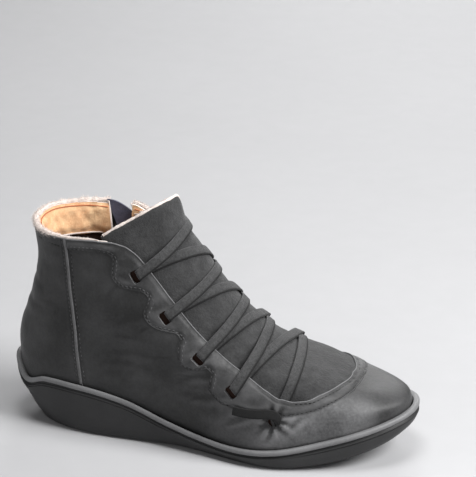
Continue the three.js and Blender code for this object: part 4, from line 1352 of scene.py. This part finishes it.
def tongue_depth(angle, row):
    from_heel = np.minimum(angle, 360 - angle)
    clear = curve(LATERAL_EDGE, "angle", "row", from_heel)
    swell = ease((from_heel - THROAT_ANGLE - 2) / 35) * ease((row - clear) / 1.2)
    flare = ease((row - 8.3) / 0.95) * (ease((from_heel - 112) / 60) + 0.3 * bump(from_heel - 180, 9))
    lift = TONGUE_LIFT * ease((from_heel - 120) / 16) * (1 - ease((row - 4.2) / 1.6))
    above = row - clear
    bulge = TONGUE_BULGE * ease((from_heel - 126) / 20) * ease((above + 0.12) / 0.14)
    lift += bulge * (1 - ease((above - 0.4) / 1.0))
    return WALL + 2 * LACE_CLEARANCE + LACE_THICKNESS - TONGUE_CROWN * swell - TONGUE_FLARE * flare - lift


def tongue():
    across, along = np.meshgrid(np.linspace(0, 1, 120), np.linspace(0, 1, 130), indexing="ij")
    first = curve(TONGUE_SIDES, "row", "lateral", 2.4 + 7 * along)
    last = 360 - curve(TONGUE_SIDES, "row", "medial", 2.4 + 7 * along)
    angle = first + (last - first) * across
    from_heel = np.minimum(angle, 360 - angle)
    low = np.interp(np.maximum(from_heel, 123), LATERAL_EDGE["angle"], LATERAL_EDGE["row"]) - TONGUE_TUCK
    lateral, medial = (curve(TONGUE_TOP, "angle", side, from_heel) for side in ("lateral", "medial"))
    high = np.where(angle < 180, lateral, medial)
    row = low + (high - low) * along
    p = surface(angle, row)
    n = normal(angle, row)
    soft = 0.3 * wobble(p, 38, 41) + 0.15 * wobble(p, 13, 42) + 0.07 * wobble(p, 5, 43)
    edge = np.minimum(np.minimum(across, 1 - across) * 110, (1 - along) * 90)
    round_off = 1 - np.sqrt(np.clip(1 - (1 - np.clip(edge / 1.8, 0, 1)) ** 2, 0, 1))
    depth = tongue_depth(angle, row)
    outer = p - n * (depth + 0.9 * round_off - soft * 0.6 * (1 - round_off))[..., None]
    inner = p - n * (depth + TONGUE_THICKNESS - 0.7 * round_off + 0.2 * wobble(p, 10, 44))[..., None]
    points, faces = slab(outer, inner)
    kinds = np.arange(len(faces)) >= (across.shape[0] - 1) * (across.shape[1] - 1)
    made = mesh("tongue_suede", points, faces, [SUEDE_FINISH, FLEECE_FINISH], kinds, 60)
    edge = outer[2:-4, -1] * 0.7 + inner[2:-4, -1] * 0.3
    fleece_roll("fleece_tongue", edge, lambda s: 0.9, 2600, 1.3)
    piece(made, "suede", "tongue")


# Lace

OVER = -(OVERLAY + 0.8 + 0.3 + LACE_THICKNESS / 2)
UNDER = WALL + LACE_CLEARANCE + LACE_THICKNESS / 2


def low_path(angle, row):
    return tongue_depth(angle, row) - LACE_CLEARANCE - LACE_THICKNESS / 2


def straight_way(start, end):
    """The straightest way over the skin between two places."""
    steps = 60
    a = np.linspace(start[0], end[0], steps)
    p0, p1 = surface(*start), surface(*end)
    chord = p1 - p0
    middle, row = (start[0] + end[0]) / 2, (start[1] + end[1]) / 2
    rows = np.linspace(1.5, 9.5, 1200)
    for _ in range(3):
        plane = np.cross(chord, normal(middle, row))
        row = rows[abs((surface(np.full(1200, middle), rows) - p0) @ plane).argmin()]
    found = []
    for angle, near in zip(a, np.linspace(start[1], end[1], steps)):
        level = (surface(np.full(1200, angle), rows) - p0) @ plane
        crossing = np.flatnonzero(np.diff(np.sign(level)))
        best = crossing[abs(rows[crossing] - near).argmin()]
        share = level[best] / (level[best] - level[best + 1])
        found.append(rows[best] + share * (rows[1] - rows[0]))
    return np.stack([a, found], -1)


def up_shaft(angle, row):
    return unit(up_step(angle, row))


def lace():
    """The lace's run from the knot's hole down through the slots to the lower hole, as points and flats."""
    stations = [(360 - MEDIAL_HOLE[0], MEDIAL_HOLE[1])]
    for (a, r), (b, s) in zip(LATERAL_SLOTS, MEDIAL_SLOTS):
        stations += [(a, r), (360 - b, s)]
    stations.append(LATERAL_HOLE)
    points = [skin(*stations[0], depth) for depth in (-OVERLAY - 1.2, UNDER)]
    flats = [up_shaft(*stations[0])] * 2
    for i, (start, end) in enumerate(zip(stations, stations[1:])):
        last = i == len(stations) - 2
        way = straight_way(start, end)[5:-3]
        a, r = way.T
        to_side = a if end[0] < 180 else 360 - a
        rise = 0 * a if last else 1 - ease((to_side - THROAT_ANGLE - 4) / 42)
        low = low_path(a, r)
        body = skin(a, r, low + (OVER - low) * rise)
        across = np.cross(normal(a, r), np.gradient(surface(a, r), axis=0))
        across *= np.sign((across * up_shaft(a, r)).sum(1, keepdims=True))
        points += list(body)
        flats += list(unit(across))
        depths = (UNDER, 0.5, -OVERLAY - 1) if last else (OVER + 0.35, -0.2, UNDER)
        shift = (0.35 if end[0] < 180 else -0.35) * (not last)
        points += [skin(end[0] + shift, end[1], depth) for depth in depths]
        flats += [up_shaft(*end)] * len(depths)
    return np.array(points), np.array(flats)


def soften(points, times):
    """Rounds the corners of an evenly stepped line, leaving its ends."""
    for _ in range(times):
        points = np.vstack([points[:1], (points[:-2] + 2 * points[1:-1] + points[2:]) / 4, points[-1:]])
    return points


def woven(name, points, flats, width, thickness, material):
    """A flat woven band, with its edge ribs and a fine chevron in relief."""
    rings, u = band_rings(points, flats, width, thickness, 28)
    gone = arc_length(points)
    _, flat, thick = frames_along(points, flats)
    chevron = np.sin(2 * np.pi * (gone[:, None] / 1.6 + abs(u)[None] * 3.2))
    weave = 0.07 * chevron + 0.05 * np.cos(u * 4 * np.pi)[None]
    turn = np.sign(((rings - points[:, None]) * thick[:, None]).sum(-1))
    rings = rings + thick[:, None] * (turn * weave)[..., None]
    # The colour is painted lighter along the band's upper edge (painted highlight) and darker along its lower
    # edge (painted shade); the faces along the lower edge take the near-black webbing as a painted shadow line.
    shade = 0 * turn + (0.3 * ease((u - 0.43) / 0.05) - 1.2 * ease((-u - 0.27) / 0.1))[None]
    lower = (u + np.roll(u, -1)) / 2 < -0.39
    kinds = [*np.tile(lower, len(rings) - 1), 0, 0]
    return loft(name, rings, [material, WEBBING_SHADE_FINISH], 70, {"wear_and_painted_light": shade.ravel()}, kinds)


def blob(centre, axes, size, power, around, up):
    """A rounded block: points and faces of a superellipsoid."""
    u = np.linspace(0, 2 * np.pi, around, endpoint=False)
    v = np.linspace(-np.pi / 2, np.pi / 2, up + 1)[1:-1]

    def shape(x):
        return np.sign(x) * abs(x) ** power

    x = shape(np.cos(v))[:, None] * shape(np.cos(u))[None]
    y = shape(np.cos(v))[:, None] * shape(np.sin(u))[None]
    z = shape(np.sin(v))[:, None] * np.ones_like(u)[None]
    local = np.stack([x, y, z], -1).reshape(-1, 3) * np.asarray(size) / 2
    local = np.vstack([local, [0, 0, -size[2] / 2], [0, 0, size[2] / 2]])
    faces = wall_faces(up - 1, around)
    count = (up - 1) * around
    last = count - around
    faces += [[(j + 1) % around, j, count] for j in range(around)]
    faces += [[last + j, last + (j + 1) % around, count + 1] for j in range(around)]
    return centre + local @ np.asarray(axes), faces


def rod(start, end, radius):
    """A round bar with softened ends: points and faces."""
    way = unit(end - start)
    soft = min(0.25, radius * 0.4)
    steps = [
        (start, radius - soft),
        (start + way * soft, radius),
        (end - way * soft, radius),
        (end, radius - soft),
    ]
    side = unit(np.cross(way, (0.31, 0.17, 0.93)))
    third = np.cross(way, side)
    turn = np.linspace(0, 2 * np.pi, 16, endpoint=False)[:, None]
    rings = [p + r * (side * np.cos(turn) + third * np.sin(turn)) for p, r in steps]
    return np.vstack(rings), tube_faces(len(rings), len(turn))


# The lace's free end, from the lower hole along the sole: angle, row and height over the skin
TAIL = [
    (115.3, 2.08, -3.5),
    (115.5, 2.13, -0.5),
    (116.1, 2.2, 1.6),
    (116.7, 2.3, 2.4),
    (116.9, 2.4, 2.5),
    (116.4, 2.48, 2.4),
    (115.2, 2.52, 2.3),
    (113.4, 2.52, 2.1),
    (111, 2.5, 2.0),
    (108.3, 2.49, 2.0),
    (106, 2.5, 2.1),
    (104, 2.53, 2.5),
]


def lace_tail():
    a, r, lift = smooth(TAIL, 8).T
    points, out = skin(a, r, -lift), normal(a, r)
    way = np.gradient(points, axis=0)
    way = unit(way - out * (way * out).sum(1, keepdims=True))
    return resample(points, 0.7, np.cross(way, out))


def lace_pieces():
    points, flats = lace()
    line, flats = resample(points, 0.8, flats)
    line, flats = soften(line, 3), unit(soften(flats, 5))
    piece(woven("lace_run", line, flats, LACE_WIDTH, LACE_THICKNESS, WEBBING_FINISH), "webbing", "lace")
    points, flats = lace_tail()
    gone = arc_length(points)
    width = TAIL_WIDTH - 2.2 * np.exp(-gone / 3.0)
    # The free end is coloured all over with the near-black webbing: painted shade for its face turned from the
    # light.
    tail = piece(woven("lace_tail", points, flats, width, TAIL_THICKNESS, WEBBING_SHADE_FINISH), "webbing", "lace_end")


def lace_knot():
    """A stopper knot over the upper hole on the inner side, with a short tail standing up."""
    across, up, out, centre = frame_on(360 - MEDIAL_HOLE[0], MEDIAL_HOLE[1])
    base = centre + out * (OVERLAY + 3.0)
    t = np.linspace(0, 2 * np.pi, 90)[:, None]
    x = 2.6 * (np.sin(t) + 2 * np.sin(2 * t)) / 2.2
    y = 3.4 * (np.cos(t) - 2 * np.cos(2 * t)) / 2.2
    z = -1.15 * np.sin(3 * t)
    knot = base + across * x + up * y + out * z
    course = ((0, 1, 0), (0, 4, 1.0), (-1.6, 7, 0.4), (-3.4, 9.5, -0.2))
    tail = smooth([base + across * x + up * y + out * z for x, y, z in course], 14)
    knot_rings, _ = band_rings(knot, np.broadcast_to(out + 0.4 * across, knot.shape), 3.6, 2.0, 14)
    tail_rings, _ = band_rings(tail, np.broadcast_to(across, tail.shape), 4.6, 1.3, 14)
    parts = [(rings.reshape(-1, 3), tube_faces(len(rings), 14)) for rings in (knot_rings, tail_rings)]
    piece(mesh("lace_stopper_knot", *join_parts(parts), [WEBBING_FINISH], angle=70), "webbing", "lace_knot")


# Zip

TAPE_DEPTH = WALL + GAP
ZIP_DRIFT = -(seam_angle(ZIP_LINE, SLIDER_ROW + 0.5) - seam_angle(ZIP_LINE, SLIDER_ROW - 0.5))
SLIDER = frame_on(float(360 - seam_angle(ZIP_LINE, SLIDER_ROW)), SLIDER_ROW, float(ZIP_DRIFT))
SLIDER_BASE = -(TAPE_DEPTH - GAP)
PIN_RADIUS = 0.7
PIN_HEIGHT = SLIDER_BASE + 3 + PIN_RADIUS + 0.35 + 0.8 + GAP
PIN_PLACE = 0.9
PIN_BORE = 1.05
PULL_LENGTH = 19.95


def on_slider(x, y, z):
    across, up, out, centre = SLIDER
    return centre + across * x + up * y + out * z


def zip_band(name, reach, depth, thickness, last, slope, material, node):
    """A strip behind the zip's opening, its top rounded off towards the front by a slope in rows."""
    line = even(seam_places(ZIP_LINE, 1.35, last, -1), 1.2)
    steps = np.linspace(*reach, 19)
    places = np.stack([offset(line, s) for s in steps], 0)
    forward = ((steps - reach[0]) / (reach[1] - reach[0])) ** 2.5
    places[..., 1] -= slope * forward[:, None] * ease((places[..., 1] - 7.4) / 1.2)
    a, r = places[..., 0], places[..., 1]
    points, faces = slab(skin(a, r, depth), skin(a, r, depth + thickness), -1)
    piece(mesh(name, points, faces, [material]), "zip_fabric", node)


def zip_pieces():
    tape_reach = (-TAPE_WIDTH / 2, TAPE_WIDTH / 2 + 3)
    guard_reach = (-3.6, GUARD_WIDTH / 2 + 2.5)
    zip_band("zip_tape_weave", tape_reach, TAPE_DEPTH, 0.8, 8.55, 0.3, TAPE_FINISH, "zip_tape")
    zip_band("zip_guard_cloth", guard_reach, TAPE_DEPTH + 1.1, 1.0, 8.84, 0.42, GUARD_FINISH, "zip_guard")
    a, r = even(seam_places(ZIP_LINE, 1.43, SLIDER_ROW - 0.46, -1), 1.1).T
    p, out = skin(a, r, 1.5), normal(a, r)
    way = unit(np.gradient(p, axis=0))
    side = unit(np.cross(out, way))
    turn = np.where(np.arange(len(p)) % 2, 0.85, -0.85)[:, None]
    teeth = [
        blob(place, axes, (2.7, 1.25, 1.5), 0.6, 10, 6)
        for place, axes in zip(p + side * turn, np.stack([side, way, out], 1))
    ]
    piece(mesh("zip_chain", *join_parts(teeth), [METAL_FINISH], angle=60), "black_metal", "zip_teeth")


def zip_slider():
    """The slider: two plates with a bridge between them, and two lugs that hold the pull's pin."""
    axes = SLIDER[:3]
    lug_height = (PIN_HEIGHT + SLIDER_BASE + 2.2) / 2 + 0.2
    lug_size = (1.3, 3.2, PIN_HEIGHT - SLIDER_BASE - 0.6)
    parts = [
        blob(on_slider(0, 0, SLIDER_BASE + 0.7), axes, (8, 9, 1.4), 0.3, 24, 8),
        blob(on_slider(0, 0, SLIDER_BASE + 2.3), axes, (7.6, 8.6, 1.4), 0.35, 24, 8),
        blob(on_slider(0, 2.2, SLIDER_BASE + 1.5), axes, (2.4, 3.6, 3.0), 0.5, 14, 8),
        rod(on_slider(-3.6, PIN_PLACE, PIN_HEIGHT), on_slider(3.6, PIN_PLACE, PIN_HEIGHT), PIN_RADIUS),
        blob(on_slider(-3.0, PIN_PLACE, lug_height), axes, lug_size, 0.5, 14, 8),
        blob(on_slider(3.0, PIN_PLACE, lug_height), axes, lug_size, 0.5, 14, 8),
    ]
    piece(mesh("zip_slider_body", *join_parts(parts), [METAL_FINISH], angle=45), "black_metal", "zip_slider")


def ring_outline(width, length, radius):
    """A rounded rectangle's outline."""
    corners = []
    for cx, cy, first in ((1, 1, 0), (-1, 1, 90), (-1, -1, 180), (1, -1, 270)):
        turn = np.radians(first + np.linspace(0, 90, 8))
        centre = cx * (width / 2 - radius), cy * (length / 2 - radius)
        corners.append(radius * np.stack([np.cos(turn), np.sin(turn)], -1) + centre)
    return np.vstack(corners)


def pull_plate():
    """The pull's plate with the slot of its grip: points and faces."""
    outline, slot = ring_outline(4, PULL_LENGTH, 1.4), ring_outline(1.6, 6.3, 0.7)
    out_line = outline + (0, PIN_PLACE - PIN_BORE - PULL_LENGTH / 2 + 0.3)
    in_line = slot + (0, PIN_PLACE - 16.4)
    half, soft = 0.6, 0.2
    out_soft, in_soft = out_line - unit(outline) * soft, in_line + unit(slot) * soft
    levels = [
        (out_line, -half + soft),
        (out_line, half - soft),
        (out_soft, half),
        (in_soft, half),
        (in_line, half - soft),
        (in_line, -half + soft),
        (in_soft, -half),
        (out_soft, -half),
    ]
    points = [on_slider(x, y, PIN_HEIGHT + z) for line, z in levels for x, y in line]
    return np.array(points), wall_faces(len(levels), len(outline), True)


def pull_eye():
    """The pull's eye round the pin: points and faces."""
    around, eye = 24, 1.85
    profile = ((PIN_BORE, -2), (eye - 0.2, -2), (eye, -1.8), (eye, 1.8), (eye - 0.2, 2), (PIN_BORE, 2))
    points = [
        on_slider(x, PIN_PLACE + radius * math.cos(t), PIN_HEIGHT + radius * math.sin(t))
        for radius, x in profile
        for t in np.linspace(0, 2 * np.pi, around, endpoint=False)
    ]
    return np.array(points), [face[::-1] for face in wall_faces(len(profile), around, True)]


def zip_pull():
    made = mesh("zip_pull_tab", *join_parts([pull_eye(), pull_plate()]), [METAL_FINISH], angle=40)
    piece(made, "black_metal", "zip_pull", body="zip_pull")


def stitch_pieces():
    rows = [
        ("stitches_lobes", LOBE_STITCHES, facing_relief, LOBE_THREAD_FINISH),
        ("stitches_vamp_edge", VAMP_EDGE_STITCHES, facing_relief, THREAD_FINISH),
        ("stitches_throat", THROAT_STITCHES, facing_relief, THREAD_FINISH),
        ("stitches_counter_front", COUNTER_STITCHES[:1], main_relief, LOBE_THREAD_FINISH),
        ("stitches_counter_back", COUNTER_STITCHES[1:], heel_relief, LOBE_THREAD_FINISH),
        ("stitches_vamp", VAMP_STITCHES, quarter_relief, THREAD_FINISH),
        ("stitches_zip_heel", ZIP_HEEL_STITCHES, heel_relief, THREAD_FINISH),
        ("stitches_zip_front", ZIP_FRONT_STITCHES, quarter_relief, THREAD_FINISH),
        ("stitches_collar", COLLAR_STITCHES, heel_relief, THREAD_FINISH),
    ]
    for name, lines, lift_of, material in rows:
        piece(stitches(name, lines, lift_of, material), "thread")


for build in (outsole, insole, upper_panels, lining, cuff, cuff_bindings, collar_rolls, seams_and_edges,
              tongue, lace_pieces, lace_knot, zip_pieces, zip_slider, zip_pull, stitch_pieces):
    build()


# Floor, light and camera

LIGHTS = (
    # name, place, aim, size, power
    ("key", (1.15, -0.22, 1.0), (0.06, 0, 0.05), 0.75, 34),
    ("top", (0.1, -0.1, 1.3), (0.06, 0, 0.05), 0.6, 9),
    ("fill", (-1.1, -0.7, 0.45), (0.06, 0, 0.05), 0.8, 3),
    ("side", (0.35, -1.2, 0.35), (0.08, 0, 0.03), 0.8, 2.5),
    ("inner_fill", (0.0, 1.2, 0.7), (0.06, 0, 0.05), 0.8, 9),
)
CAMERA_AZIMUTH = math.radians(16)
CAMERA_ELEVATION = math.radians(25)
CAMERA_DISTANCE = 1.898
CAMERA_TARGET = Vector((0.078, 0, 0.020))
CAMERA_AIM = Vector((-0.01097, -0.05515, -1))
CAMERA_LENS = 218.2
FLOOR_REACH = 3000
FLOOR_LEVEL = -0.4
WORLD_STRENGTH = 0.15


def backdrop():
    corners = [(FLOOR_REACH * x, FLOOR_REACH * y, FLOOR_LEVEL) for x, y in ((-1, -1), (1, -1), (1, 1), (-1, 1))]
    pale = finish("floor", grey(168), grey(174), 0.7, swell=4, grain=120, relief_mm=0.02, spec=0.2)
    mesh("floor", corners, [[0, 1, 2, 3]], [pale])


def area_light(name, place, aim, size, power):
    data = bpy.data.lights.new(name, "AREA")
    data.shape, data.size, data.energy = "DISK", size, power
    lamp = bpy.data.objects.new(name, data)
    lamp.location = place
    lamp.rotation_euler = (Vector(aim) - Vector(place)).to_track_quat("-Z", "Y").to_euler()
    bpy.context.scene.collection.objects.link(lamp)


def camera():
    """A camera at the photograph's angle, turned a little past its aim."""
    level = math.cos(CAMERA_ELEVATION)
    right = Vector((math.cos(CAMERA_AZIMUTH), math.sin(CAMERA_AZIMUTH), 0))
    back = Vector((right.y * level, -right.x * level, math.sin(CAMERA_ELEVATION)))
    facing = Matrix((right, back.cross(right), back)).transposed()
    turn = CAMERA_AIM.normalized().rotation_difference(Vector((0, 0, -1))).to_matrix()
    data = bpy.data.cameras.new("camera")
    data.lens, data.sensor_width, data.sensor_fit = CAMERA_LENS, 36, "HORIZONTAL"
    made = bpy.data.objects.new("camera", data)
    made.matrix_world = Matrix.Translation(CAMERA_TARGET + back * CAMERA_DISTANCE) @ (facing @ turn).to_4x4()
    bpy.context.scene.collection.objects.link(made)
    bpy.context.scene.camera = made


backdrop()
for light in LIGHTS:
    area_light(*light)
world = bpy.data.worlds.new("world")
world.use_nodes = True
background = world.node_tree.nodes["Background"]
background.inputs["Color"].default_value = (*grey(215), 1)
background.inputs["Strength"].default_value = WORLD_STRENGTH
bpy.context.scene.world = world
bpy.context.scene.view_settings.view_transform = "Standard"
camera()
